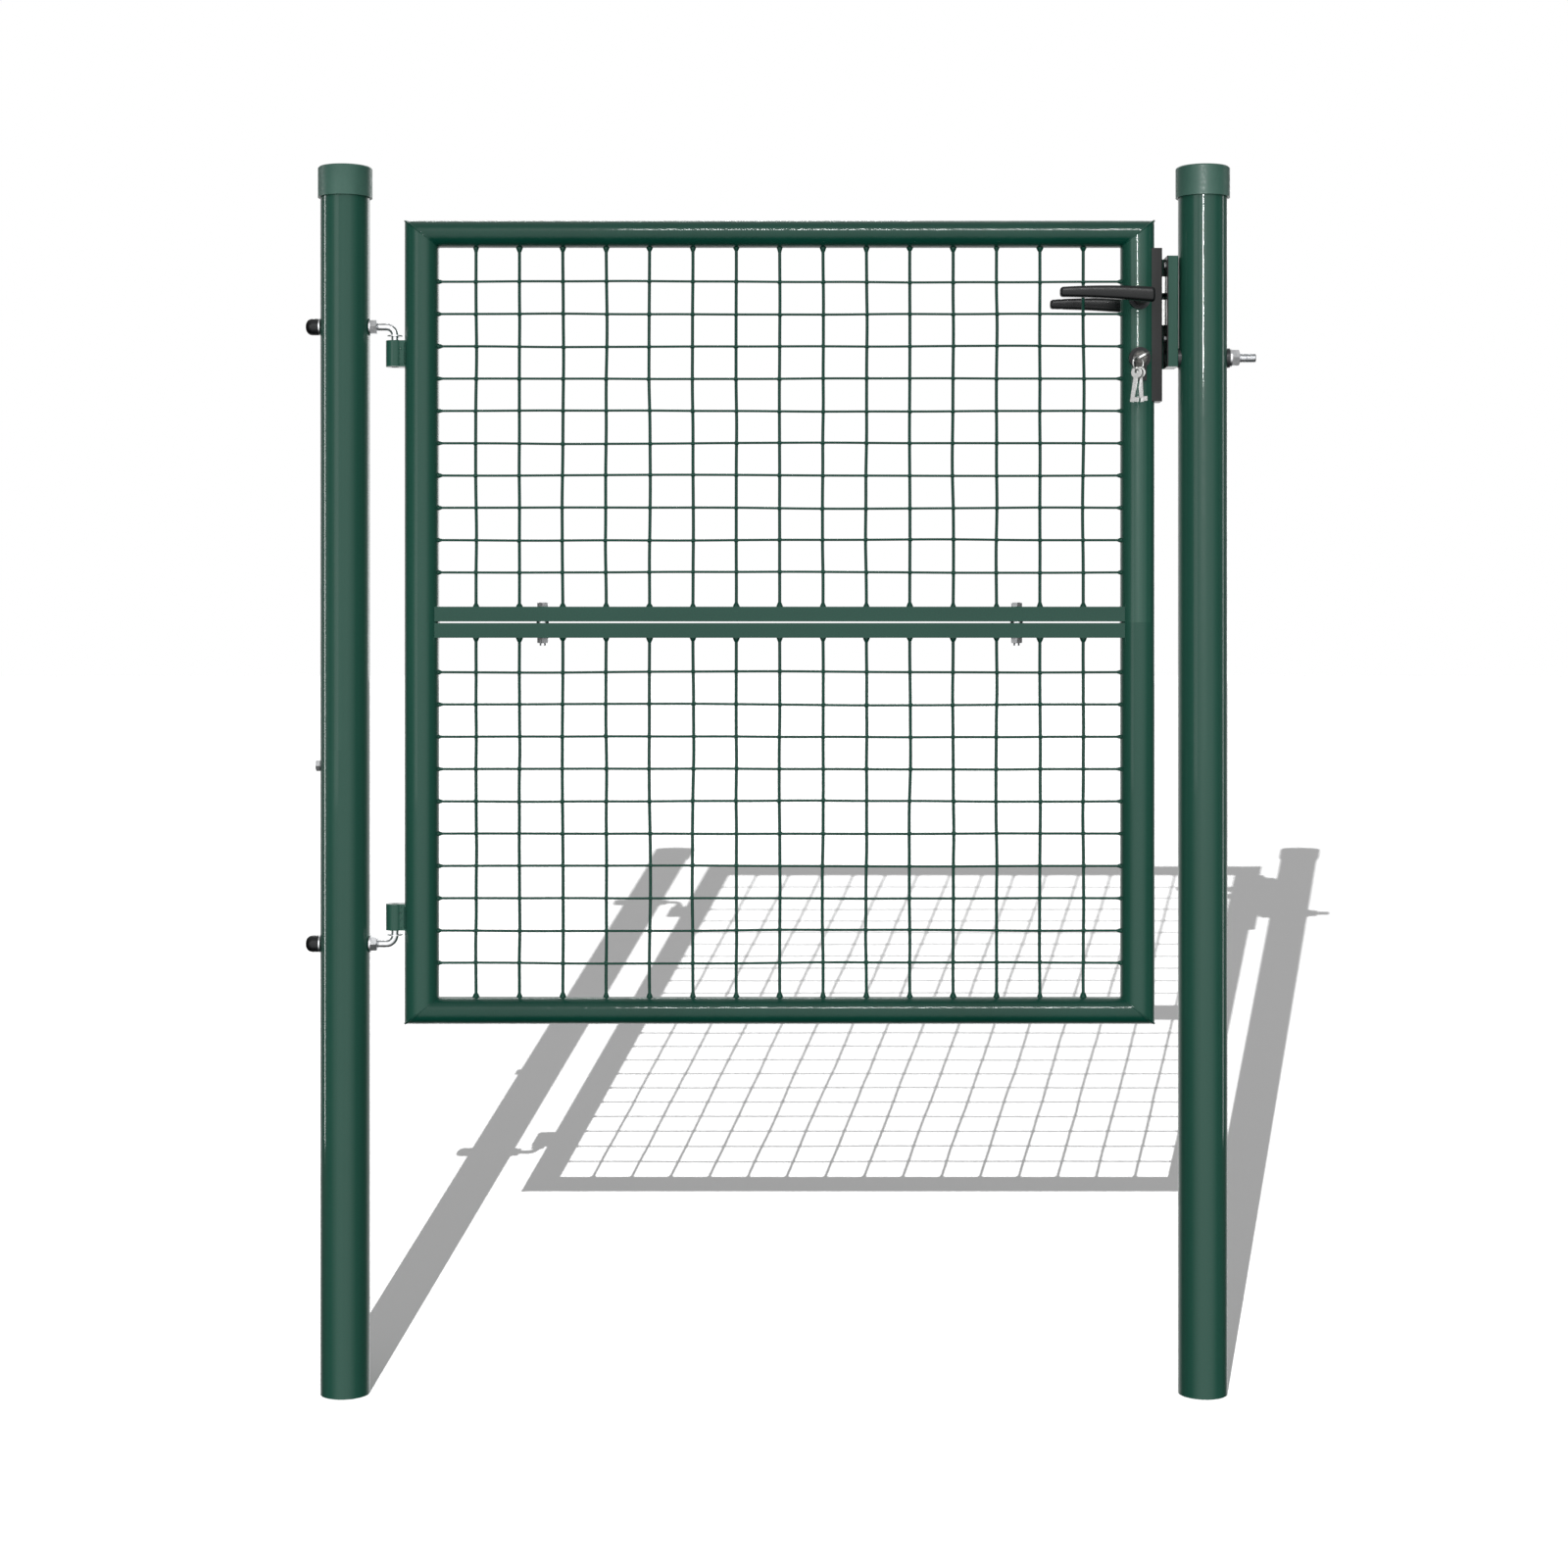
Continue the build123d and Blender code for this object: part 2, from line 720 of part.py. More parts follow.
def make_deadbolt():
    """The deadbolt: nose, stepped body behind it and a tail down to the cylinder's cam."""
    half = deadbolt_thickness / 2
    step = deadbolt_bottom + deadbolt_step_height
    bolt = block(nose_x - deadbolt_nose_length, nose_x, -half, half, deadbolt_bottom, deadbolt_top)
    bolt += block(lock_stile_x - deadbolt_body_reach, nose_x, -half, half, deadbolt_bottom, step)
    tail_x = lock_stile_x + deadbolt_tail_gap
    side = deadbolt_tail_thickness / 2
    foot = deadbolt_bottom - deadbolt_tail_length
    bolt += block(tail_x - deadbolt_tail_width, tail_x, -side, side, foot, deadbolt_bottom)
    save("deadbolt", bolt)


# ---- levers ----
def make_lever(name, side):
    """One lever: round neck with a square socket, and a tapered flat grip."""
    near = side * lever_reach
    far = side * (lever_reach + lever_thickness)
    heel = lever_heel_height / 2
    tip = lever_tip_height
    right = lock_stile_x + lever_heel
    left = lock_stile_x - lever_length
    waist = lock_stile_x - lever_length / 3
    crown = spindle_height + heel
    outline = [
        (right, crown - lever_corner),
        (right, crown - lever_heel_height + lever_corner),
        (waist, crown - lever_heel_height),
        (left, crown - tip + lever_arch),
        (left, crown + lever_arch),
        (waist, crown + lever_arch / 2),
    ]
    plane = Plane(origin=(0, 0, 0), x_dir=(1, 0, 0), z_dir=(0, -1, 0))
    face = plane * make_face(Polyline(*outline, close=True))
    grip = extrude(face, amount=lever_thickness, dir=(0, side, 0)).moved(Location((0, near, 0)))
    grip = fillet(grip.edges().filter_by(Axis.Y), lever_rounding)
    outer = grip.faces().sort_by(Axis.Y)[0 if side < 0 else -1].edges()
    grip = chamfer(outer, lever_edge)
    inner = side * (case_width / 2 + neck_gap)
    neck = lock_rod(neck_radius, inner, (near + far) / 2, spindle_height)
    half = spindle_size / 2 + spindle_clearance
    depth = side * (lever_reach - socket_stop)
    socket = block(
        lock_stile_x - half,
        lock_stile_x + half,
        inner,
        depth,
        spindle_height - half,
        spindle_height + half,
)
    grub_y = side * (lever_reach - grub_setback)
    grub_hole = rod(
        m5_radius + spindle_clearance,
        (lock_stile_x, grub_y, spindle_height - half),
        (lock_stile_x, grub_y, spindle_height - 2 * neck_radius),
)
    save(name, grip + neck - socket - grub_hole)
    grub_top = spindle_height - spindle_size / 2
    return rod(
        m5_radius,
        (lock_stile_x, grub_y, grub_top),
        (lock_stile_x, grub_y, spindle_height - neck_radius + grub_proud),
)


def make_handle():
    """Both levers, the spindle through them, the hub on it, grub screws and neck bushes."""
    grubs = [make_lever("front_lever", -1), make_lever("rear_lever", 1)]
    save("lever_grub_screws", *grubs)
    half = spindle_size / 2
    reach = lever_reach - spindle_setback
    spindle = block(
        lock_stile_x - half,
        lock_stile_x + half,
        -reach,
        reach,
        spindle_height - half,
        spindle_height + half,
)
    save("spindle", spindle)
    width = case_width / 2 - case_wall - slide_clearance
    hub = lock_rod(hub_radius, -width, width, spindle_height)
    arm = hub_arm_width / 2
    hub += block(
        lock_stile_x - arm, lock_stile_x + arm, -arm, arm, spindle_height, spindle_height + hub_arm_radius
)
    hole = half + spindle_clearance
    hub -= block(
        lock_stile_x - hole,
        lock_stile_x + hole,
        -width,
        width,
        spindle_height - hole,
        spindle_height + hole,
)
    save("spindle_hub", hub)
    bushes = []
    stile = stile_envelope()[1]
    for side in (-1, 1):
        face = side * (stile_radius + bush_proud)
        inner = side * (stile_radius - leaf_wall - bush_overlap)
        flange = lock_rod(bush_radius, 0, face, spindle_height) - stile
        body = lock_rod(bush_body_radius, inner, face, spindle_height)
        bore = lock_rod(neck_radius + running_clearance, 0, face, spindle_height)
        bushes.append(flange + body - bore)
    save("lever_bushes", *bushes)


# ---- cylinder and keys ----
def key_way(offset=0.0):
    """A point on the key's slanted line through the cylinder's axis."""
    return lock_stile_x + offset * cos(
        radians(key_tilt)
), cylinder_height + offset * sin(radians(key_tilt))


def key_plane(y=0.0):
    """Plane of the key's flat, through the cylinder's axis: x along the slant, y along -Y."""
    slant = (cos(radians(key_tilt)), 0, sin(radians(key_tilt)))
    normal = (-sin(radians(key_tilt)), 0, cos(radians(key_tilt)))
    x_dir = Vector(*slant)
    z_dir = Vector(*normal)
    return Plane(origin=(lock_stile_x, y, cylinder_height), x_dir=x_dir, z_dir=z_dir)


def flat_key_piece(outline):
    """A flat outline given the key's thickness, centred on the key's plane."""
    return extrude(key_plane() * outline, amount=key_thickness / 2, both=True)


def outward():
    """Sign that carries the key plane's second direction towards the user."""
    return -1.0 if key_plane().y_dir.Y > 0 else 1.0


def make_cylinder():
    """Cylinder body, its turning plug with cam, and the escutcheons on both faces."""
    half = cylinder_half_length
    body = profile_cut(0, -half, half)
    body -= lock_rod(plug_radius + spindle_clearance, -half - 1, half + 1, cylinder_height)
    room = cam_half_width + slide_clearance
    sweep_radius = cam_radius + slide_clearance
    body -= lock_rod(sweep_radius, -room, room, cylinder_height)
    save("lock_cylinder", body)
    plug = lock_rod(plug_radius, -half - plug_proud, half + plug_proud, cylinder_height)
    plug += lock_rod(profile_radius, -cam_half_width, cam_half_width, cylinder_height)
    cam = cam_width / 2
    plug += block(
        lock_stile_x - cam,
        lock_stile_x + cam,
        -cam_half_width,
        cam_half_width,
        cylinder_height,
        cylinder_height + cam_radius - cam_setback,
)
    sign = outward()
    blade_end = half - key_blade_length
    width = key_blade_width + 2 * spindle_clearance
    slot_middle = (blade_end + half + 1) / 2
    slot_length = half + 1 - blade_end + 2 * spindle_clearance
    slot = Pos(0, sign * slot_middle) * Rectangle(width, slot_length)
    plug -= extrude(key_plane() * slot, amount=key_thickness / 2 + spindle_clearance, both=True)
    save("cylinder_plug", plug)
    shields = []
    stile = stile_envelope()[1]
    for side in (-1, 1):
        face = side * (stile_radius + bush_proud)
        disc = lock_rod(escutcheon_radius, 0, face, cylinder_height)
        low = cylinder_height + profile_radius - profile_height - escutcheon_rim
        tail = block(
            lock_stile_x - escutcheon_tail_half,
            lock_stile_x + escutcheon_tail_half,
            0,
            face,
            low,
            cylinder_height,
)
        shields.append(
            (disc + tail) - stile - profile_cut(cylinder_clearance, -2 * stile_radius, 2 * stile_radius)
)
    save("cylinder_escutcheons", *shields)


def make_key():
    """The key standing in the lock: blade, shoulder and round bow with an off-centre hole."""
    sign = outward()
    half = cylinder_half_length
    tip = half - key_blade_length
    bow_middle = half + key_bow_reach
    blade = Pos(0, sign * (tip + bow_middle) / 2) * Rectangle(key_blade_width, bow_middle - tip)
    bow = Pos(0, sign * bow_middle) * Circle(key_bow_radius)
    hole = Pos(-key_hole_offset, sign * (bow_middle + key_hole_setback)) * Circle(key_hole_radius)
    room = 2 * key_bow_radius
    face = -half - key_shoulder_gap
    near = block(
        lock_stile_x - room, lock_stile_x + room, face, 0, cylinder_height - room, cylinder_height + room
)
    shoulder = flat_key_piece(bow) - near
    save("key_in_lock", flat_key_piece(blade) + shoulder - flat_key_piece(hole))


def ring_centre():
    """Centre of the split ring, which hangs from the hole in the key's bow."""
    x, z = key_way(-key_hole_offset)
    y = -(cylinder_half_length + key_bow_reach + key_hole_setback)
    lean = radians(ring_lean)
    turn = radians(ring_turn)
    side = ring_radius * sin(lean)
    return Vector(x - side * cos(turn), y - side * sin(turn), z - ring_radius * cos(lean))


def ring_point(angle):
    """A point on the ring's wire, by its angle from the lowest point."""
    turn = radians(ring_turn)
    side = ring_radius * sin(radians(angle))
    return ring_centre() + Vector(side * cos(turn), side * sin(turn), -ring_radius * cos(radians(angle)))


def spare_key(at, swing, face_turn):
    """One spare key hanging from a point of the ring, swung in its own flat plane."""
    stem_end = -spare_length
    half = spare_stem_width / 2
    bow = Pos(0, -spare_bow_radius + spare_hole_radius + spare_rim) * Circle(spare_bow_radius)
    stem = Pos(0, stem_end / 2) * Rectangle(spare_stem_width, -stem_end)
    root = spare_bit_root
    bit_place = Pos(half + spare_bit_reach / 2 - root, stem_end + spare_bit_height / 2 + root)
    bit = bit_place * Rectangle(spare_bit_reach + 2 * root, spare_bit_height)
    outline = bow + stem + bit - Pos(0, 0) * Circle(spare_hole_radius)
    plane = Plane(origin=(0, 0, 0), x_dir=(1, 0, 0), z_dir=(0, -1, 0))
    flat = extrude(plane * outline, amount=spare_thickness / 2, both=True)
    return Pos(*at) * Rot(0, 0, face_turn) * Rot(0, swing, 0) * flat


def make_key_bunch():
    """The split ring and the two spare keys on it."""
    turn = radians(ring_turn)
    plane = Plane(origin=tuple(ring_centre()), z_dir=(sin(turn), -cos(turn), 0))
    save("key_ring", plane * Torus(ring_radius, ring_wire_radius))
    hang = spare_hole_radius - ring_wire_radius - spare_hang_clearance
    keys = [
        spare_key(
            ring_point(angle) - Vector(0, 0, hang), swing, spare_face_turn
) for angle, swing in spare_hangs
    ]
    save("spare_keys", *keys)


# ---- keeper ----
def keeper_pockets(x0, x1):
    """The openings that take the latch and the deadbolt."""
    latch_low, latch_high = latch_span()
    latch = nose_cut(latch_low, latch_high, latch_thickness, pocket_clearance, x0, x1)
    dead = nose_cut(deadbolt_bottom, deadbolt_top, deadbolt_thickness, pocket_clearance, x0, x1)
    return latch + dead


def make_keeper():
    """Keeper box on the latch post, its strike plate, stop, screws and clamping bolt."""
    half = keeper_width / 2
    front = keeper_x + strike_thickness
    box = block(front, keeper_back, -half, half, keeper_bottom, keeper_top)
    box = fillet(box.edges().filter_by(Axis.Z).group_by(Axis.X)[-1], keeper_rounding)
    wall = keeper_wall
    box -= block(
        front, keeper_back - wall, wall - half, half - wall, keeper_bottom + wall, keeper_top - wall
)
    bolt_line = ((keeper_x, 0, keeper_bolt_height), (post_spacing, 0, keeper_bolt_height))
    box -= rod(m12_radius + hole_clearance, *bolt_line)
    save("keeper_box", box)
    strike = block(
        keeper_x, front, -half, half, keeper_bottom, keeper_top
) - keeper_pockets(keeper_x - 1, front + 1)
    strike -= rod(
        m12_flats / sqrt(3) + hole_clearance,
        (keeper_x - 1, 0, keeper_bolt_height),
        (front + 1, 0, keeper_bolt_height),
)
    screws = []
    for z in (keeper_top - strike_screw_inset, keeper_bottom + keeper_bolt_rise + strike_screw_rise):
        shaft = rod(m5_radius, (keeper_x, 0, z), (keeper_back - wall - slide_clearance, 0, z))
        head = rod(screw_head_radius, (keeper_x - screw_head_height, 0, z), (keeper_x, 0, z))
        strike -= shaft
        screws.append(shaft + head)
    save("strike_plate", strike)
    save("strike_screws", *screws)
    stop_y = faceplate_width / 2 + stop_clearance
    stop = block(
        faceplate_x - stop_reach, keeper_x, stop_y, stop_y + stop_thickness, keeper_bottom, keeper_top
)
    save("keeper_stop", stop)


def make_keeper_bolt():
    """The bolt through the latch post, its saddle washers, flat washer and nut."""
    z = keeper_bolt_height
    seat = keeper_back - keeper_wall
    far_face = post_spacing + post_radius
    saddle_face = far_face + keeper_saddle
    washer_face = saddle_face + m12_washer_thickness
    nut_face = washer_face + m12_nut_height
    head = chamfered_hexagon(m12_flats, (seat, 0, z), (seat - m12_head_height, 0, z))
    save("keeper_bolt", head + rod(m12_radius, (seat, 0, z), (nut_face + keeper_stud_length, 0, z)))
    post = rod(
        post_radius, (post_spacing, 0, z - 2 * post_radius), (post_spacing, 0, z + 2 * post_radius)
)
    saddles = []
    for start, end in ((keeper_back, post_spacing), (saddle_face, post_spacing)):
        pad = rod(m12_washer_radius, (start, 0, z), (end, 0, z)) - post
        hole = rod(m12_radius + hole_clearance, (start, 0, z), (end, 0, z))
        saddles.append(pad - hole)
    save("keeper_saddle_washers", *saddles)
    save(
        "keeper_washer",
        pipe(
            m12_flat_washer_radius, m12_radius + hole_clearance, (saddle_face, 0, z), (washer_face, 0, z)
),
)
    save("keeper_nut", nut(m12_flats, m12_radius, (washer_face, 0, z), (nut_face, 0, z)))


def main():
    os.makedirs("parts", exist_ok=True)
    hinge_hole = m10_radius + hole_clearance
    make_post("hinge", 0.0, ((upper_hinge_height, hinge_hole), (lower_hinge_height, hinge_hole)))
    make_post("latch", post_spacing, ((keeper_bolt_height, m12_radius + hole_clearance),))
    make_sleeve_bolts()
    for name, height, way in hinge_levels():
        make_hinge_bolt(name, height, way)
        make_barrel(name, height, way)
    make_hinge_hardware()
    make_stiles()
    make_rails()
    make_mid_rails()
    make_leaf_fasteners()
    make_mesh()
    make_faceplate()
    make_lock_case()
    make_latch()
    make_deadbolt()
    make_handle()
    make_cylinder()
    make_key()
    make_key_bunch()
    make_keeper()
    make_keeper_bolt()


main()
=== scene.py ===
"""Finish for a welded mesh gate: paint, wires, welds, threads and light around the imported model.

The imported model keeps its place. Its tubes, plates and nuts get their coats here, and the pieces
that need more than a plain solid, such as the mesh wires and the threaded bolts, are built anew
in the same place. All sizes are in metres.
"""

import logging
import math
import random
from collections.abc import Callable, Iterable, Sequence
from dataclasses import dataclass, field
from enum import Enum

import bpy
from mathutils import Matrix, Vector, noise


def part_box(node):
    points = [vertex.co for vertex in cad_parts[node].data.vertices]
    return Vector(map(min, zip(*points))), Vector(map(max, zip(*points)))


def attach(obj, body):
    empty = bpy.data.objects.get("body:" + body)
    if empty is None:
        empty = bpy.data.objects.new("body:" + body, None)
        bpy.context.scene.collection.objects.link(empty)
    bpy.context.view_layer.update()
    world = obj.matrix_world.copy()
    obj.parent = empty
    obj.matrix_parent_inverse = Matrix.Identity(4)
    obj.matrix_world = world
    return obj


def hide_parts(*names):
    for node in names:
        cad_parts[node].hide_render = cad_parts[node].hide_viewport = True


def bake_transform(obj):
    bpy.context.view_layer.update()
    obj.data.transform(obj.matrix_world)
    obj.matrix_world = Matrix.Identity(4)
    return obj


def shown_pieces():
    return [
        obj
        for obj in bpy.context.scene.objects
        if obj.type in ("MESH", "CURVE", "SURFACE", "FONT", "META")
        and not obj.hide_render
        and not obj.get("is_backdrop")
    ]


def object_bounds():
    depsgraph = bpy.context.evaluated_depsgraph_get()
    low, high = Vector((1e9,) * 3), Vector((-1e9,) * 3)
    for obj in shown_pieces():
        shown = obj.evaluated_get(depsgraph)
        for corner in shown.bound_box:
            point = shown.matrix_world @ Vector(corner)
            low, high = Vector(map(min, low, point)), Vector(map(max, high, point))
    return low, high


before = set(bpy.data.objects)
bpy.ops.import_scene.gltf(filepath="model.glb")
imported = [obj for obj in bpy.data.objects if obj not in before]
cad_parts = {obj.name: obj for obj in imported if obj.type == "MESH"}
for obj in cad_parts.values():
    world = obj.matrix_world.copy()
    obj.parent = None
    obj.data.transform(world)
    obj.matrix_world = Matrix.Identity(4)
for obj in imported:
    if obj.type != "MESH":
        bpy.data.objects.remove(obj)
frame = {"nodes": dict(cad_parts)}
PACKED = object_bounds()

MM = 0.001
log = logging.getLogger("gate")

Colour = tuple[float, float, float]
Socket = bpy.types.NodeSocket
Shape = Callable[[int, float], float]


class Slot(Enum):
    """The finishes of the gate, named as in the record."""

    GREEN_COAT = "green_coat"
    GREEN_PLASTIC = "green_plastic"
    ZINC = "zinc"
    BLACK_PLASTIC = "black_plastic"
    BLACK_COAT = "black_coat"
    NICKEL = "nickel"


class Body(Enum):
    """The moving bodies of the gate."""

    POSTS = "posts"
    LEAF = "leaf"
    HANDLE = "handle"
    LATCH = "latch"
    DEADBOLT = "deadbolt"
    KEY = "key"
    KEY_BUNCH = "key_bunch"


# ---------------------------------------------------------------- finishes
class Coating:
    """A material under construction: one shader with patterns wired into it."""

    def __init__(self, name: str) -> None:
        """Starts an empty material.

        Args:
            name: The material's name.
        """
        self.material = bpy.data.materials.new(name)
        self.material.use_nodes = True
        self.tree = self.material.node_tree
        self.tree.nodes.clear()
        self.shader = self.add("ShaderNodeBsdfPrincipled")
        output = self.add("ShaderNodeOutputMaterial")
        self.join(self.shader.outputs["BSDF"], output.inputs["Surface"])
        self.place = self.add("ShaderNodeTexCoord").outputs["Object"]

    def add(self, kind: str, **settings: object) -> bpy.types.Node:
        """Adds a node.

        Args:
            kind: Blender's name for the node type.
            **settings: Attributes of the node.

        Returns:
            The new node.
        """
        node = self.tree.nodes.new(kind)
        for name, value in settings.items():
            setattr(node, name, value)
        return node

    def join(self, source: Socket, target: Socket) -> None:
        """Wires one socket to another."""
        self.tree.links.new(source, target)

    def set(self, **values: object) -> None:
        """Sets plain values on the shader; an underscore in a name stands for a space."""
        for name, value in values.items():
            self.shader.inputs[name.replace("_", " ")].default_value = value

    def stretched(self, stretch: Colour) -> Socket:
        """The surface's own coordinates, scaled along each axis."""
        mapping = self.add("ShaderNodeMapping")
        mapping.inputs["Scale"].default_value = stretch
        self.join(self.place, mapping.inputs["Vector"])
        return mapping.outputs["Vector"]

    def noise(self, scale: float, detail: float = 2.0, stretch: Colour = (1, 1, 1)) -> Socket:
        """A noise pattern.

        Args:
            scale: Cells in one metre.
            detail: Octaves of finer noise.
            stretch: Scale along each axis.

        Returns:
            The pattern's value, about 0 to 1.
        """
        node = self.add("ShaderNodeTexNoise")
        node.inputs["Scale"].default_value = scale
        node.inputs["Detail"].default_value = detail
        self.join(self.stretched(stretch), node.inputs["Vector"])
        return node.outputs["Fac"]

    def cells(self, scale: float) -> Socket:
        """A pattern of flat crystal cells, each with its own value."""
        node = self.add("ShaderNodeTexVoronoi")
        node.inputs["Scale"].default_value = scale
        self.join(self.place, node.inputs["Vector"])
        grey = self.add("ShaderNodeRGBToBW")
        self.join(node.outputs["Color"], grey.inputs["Color"])
        return grey.outputs["Val"]

    def span(self, source: Socket, low: float, high: float, to_low: float, to_high: float) -> Socket:
        """Maps one range of values to another, held at its ends.

        Args:
            source: The value to map.
            low: Start of the source's range.
            high: End of the source's range.
            to_low: Value given at low.
            to_high: Value given at high.

        Returns:
            The mapped value.
        """
        node = self.add("ShaderNodeMapRange")
        for name, value in zip(("From Min", "From Max", "To Min", "To Max"), (low, high, to_low, to_high)):
            node.inputs[name].default_value = value
        self.join(source, node.inputs["Value"])
        return node.outputs["Result"]

    def blend(self, share: Socket, first: Colour | Socket, second: Colour) -> Socket:
        """Mixes two colours.

        Args:
            share: How much of the second colour shows.
            first: A colour, or a socket that gives one.
            second: The other colour.

        Returns:
            The mixed colour.
        """
        node = self.add("ShaderNodeMix", data_type="RGBA")
        self.join(share, node.inputs[0])
        if isinstance(first, tuple):
            node.inputs[6].default_value = (*first, 1)
        else:
            self.join(first, node.inputs[6])
        node.inputs[7].default_value = (*second, 1)
        return node.outputs[2]

    def worn_edges(self, start: float, end: float) -> Socket:
        """How much a place is a sharp outer edge, from 0 to 1."""
        return self.span(self.add("ShaderNodeNewGeometry").outputs["Pointiness"], start, end, 0, 1)

    def relief(self, layers: Sequence[tuple[Socket, float]]) -> None:
        """Raises patterns out of the surface.

        Args:
            layers: Each pattern with its height in metres.
        """
        below = None
        for pattern, height in layers:
            node = self.add("ShaderNodeBump")
            node.inputs["Strength"].default_value = 1.0
            node.inputs["Distance"].default_value = height
            self.join(pattern, node.inputs["Height"])
            if below is not None:
                self.join(below, node.inputs["Normal"])
            below = node.outputs["Normal"]
        self.join(below, self.shader.inputs["Normal"])

    def colour(self, source: Socket) -> None:
        """Wires a colour to the shader."""
        self.join(source, self.shader.inputs["Base Color"])

    def roughness(self, source: Socket) -> None:
        """Wires a roughness to the shader."""
        self.join(source, self.shader.inputs["Roughness"])


@dataclass(frozen=True)
class PowderCoat:
    """Baked powder over steel: orange peel, slow drifts of tone, a hard clear skin."""

    name: str
    tone: Colour
    shade: Colour
    worn: Colour
    roughness: tuple[float, float]
    gloss: float
    peel: float = 0.003 * MM

    def make(self) -> bpy.types.Material:
        """Builds the material."""
        coat = Coating(self.name)
        drift = coat.span(coat.noise(7.0, 3.0, (1, 1, 0.35)), 0.3, 0.7, 0, 1)
        tint = coat.blend(drift, self.shade, self.tone)
        flecks = coat.span(coat.noise(900.0, 1.0), 0.62, 0.8, 0, 0.25)
        tint = coat.blend(flecks, tint, self.worn)
        tint = coat.blend(coat.worn_edges(0.56, 0.68), tint, self.worn)
        coat.colour(tint)
        coat.roughness(coat.span(coat.noise(45.0, 4.0), 0.3, 0.7, *self.roughness))
        coat.set(
            Coat_Weight=self.gloss, Coat_Roughness=0.06, IOR=1.5, Coat_IOR=1.5, Specular_IOR_Level=0.15
        )
        coat.relief(((coat.noise(160.0, 1.0), self.peel),))
        return coat.material


@dataclass(frozen=True)
class MouldedPlastic:
    """Moulded plastic with a fine spark-eroded grain."""

    name: str
    tone: Colour
    shade: Colour
    worn: Colour
    roughness: tuple[float, float]
    grain: float = 0.03 * MM

    def make(self) -> bpy.types.Material:
        """Builds the material."""
        plastic = Coating(self.name)
        drift = plastic.span(plastic.noise(60.0, 3.0), 0.3, 0.7, 0, 1)
        tint = plastic.blend(drift, self.shade, self.tone)
        tint = plastic.blend(plastic.worn_edges(0.55, 0.7), tint, self.worn)
        plastic.colour(tint)
        plastic.roughness(plastic.span(plastic.noise(220.0, 3.0), 0.3, 0.7, *self.roughness))
        plastic.set(IOR=1.46)
        plastic.relief(((plastic.noise(2600.0, 1.0), self.grain),))
        return plastic.material


@dataclass(frozen=True)
class PlatedMetal:
    """Plated steel or brass: crystal patches, fine scratches and a dull film in random patches."""

    name: str
    tone: Colour
    shade: Colour
    roughness: tuple[float, float]
    patch: float
    scratch: Colour

    def make(self) -> bpy.types.Material:
        """Builds the material."""
        plate = Coating(self.name)
        patches = plate.span(plate.cells(self.patch), 0.1, 0.9, 0, 1)
        film = plate.span(plate.noise(130.0, 4.0), 0.45, 0.75, 0, 0.7)
        tint = plate.blend(patches, self.shade, self.tone)
        tint = plate.blend(film, tint, self.shade)
        plate.colour(tint)
        plate.roughness(plate.span(plate.noise(700.0, 4.0, self.scratch), 0.3, 0.7, *self.roughness))
        plate.set(Metallic=1.0)
        plate.relief((
            (plate.noise(900.0, 3.0, self.scratch), 0.02 * MM), (plate.noise(3000.0, 1.0), 0.01 * MM)
        ))
        return plate.material


FINISHES = {
    Slot.GREEN_COAT: PowderCoat(
        "moss green powder coat", (0.004, 0.098, 0.064), (0.003, 0.082, 0.053), (0.05, 0.18, 0.13),
        (0.34, 0.46), 0.6
    ),
    Slot.GREEN_PLASTIC: MouldedPlastic(
        "green moulded cap", (0.072, 0.195, 0.150), (0.060, 0.172, 0.132), (0.13, 0.29, 0.23),
        (0.34, 0.5)
    ),
    Slot.ZINC: PlatedMetal(
        "zinc plate", (0.93, 0.94, 0.95), (0.72, 0.73, 0.75), (0.26, 0.42), 420.0, (1, 1, 1)
    ),
    Slot.BLACK_PLASTIC: MouldedPlastic(
        "black moulded nylon", (0.010, 0.011, 0.012), (0.006, 0.007, 0.008), (0.05, 0.053, 0.058),
        (0.24, 0.36)
    ),
    Slot.BLACK_COAT: PowderCoat(
        "black lacquer", (0.009, 0.010, 0.011), (0.006, 0.006, 0.007), (0.08, 0.08, 0.08),
        (0.3, 0.44), 0.25, 0.05 * MM
    ),
    Slot.NICKEL: PlatedMetal(
        "nickel plate", (0.93, 0.93, 0.92), (0.76, 0.76, 0.75), (0.2, 0.34), 260.0, (1, 1, 6)
    ),
}


# Nickel for the lock cylinder and its plug, darkened far below the plated tone: painted shade and painted
# dark reflection on the cylinder's face.
PAINTED_SHADE_FINISHES = {
    "lock_cylinder": PlatedMetal(
        "dulled nickel body", (0.16, 0.16, 0.15), (0.08, 0.08, 0.08), (0.24, 0.4), 300.0, (1, 6, 1)
    ),
    "cylinder_plug": PlatedMetal(
        "dulled nickel plug", (0.22, 0.21, 0.20), (0.10, 0.10, 0.10), (0.2, 0.34), 300.0, (1, 6, 1)
    ),
}


class PaintShop:
    """Makes each finish once and gives it to the pieces that need it."""

    def __init__(self) -> None:
        """Makes every finish."""
        self.materials = {slot: finish.make() for slot, finish in FINISHES.items()}
        self.painted_shade_by_node = {node: finish.make() for node, finish in PAINTED_SHADE_FINISHES.items()}

    def coat(self, piece: bpy.types.Object, slot: Slot) -> None:
        """Gives a piece one finish all over."""
        piece.data.materials.clear()
        piece.data.materials.append(self.materials[slot])

    def dress_packed(self, nodes: dict[str, bpy.types.Object]) -> None:
        """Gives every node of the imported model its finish, by the slot its own material is named for.

        Args:
            nodes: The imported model's nodes by name.
        """
        for name, node in nodes.items():
            for place in node.material_slots:
                slot = Slot(place.material.name.split(".")[0])
                # The lock cylinder and its plug take the nickel darkened with painted shade in place of
                # their slot's finish.
                place.material = self.painted_shade_by_node.get(name, self.materials[slot])
            log.info("dressed %s", name)


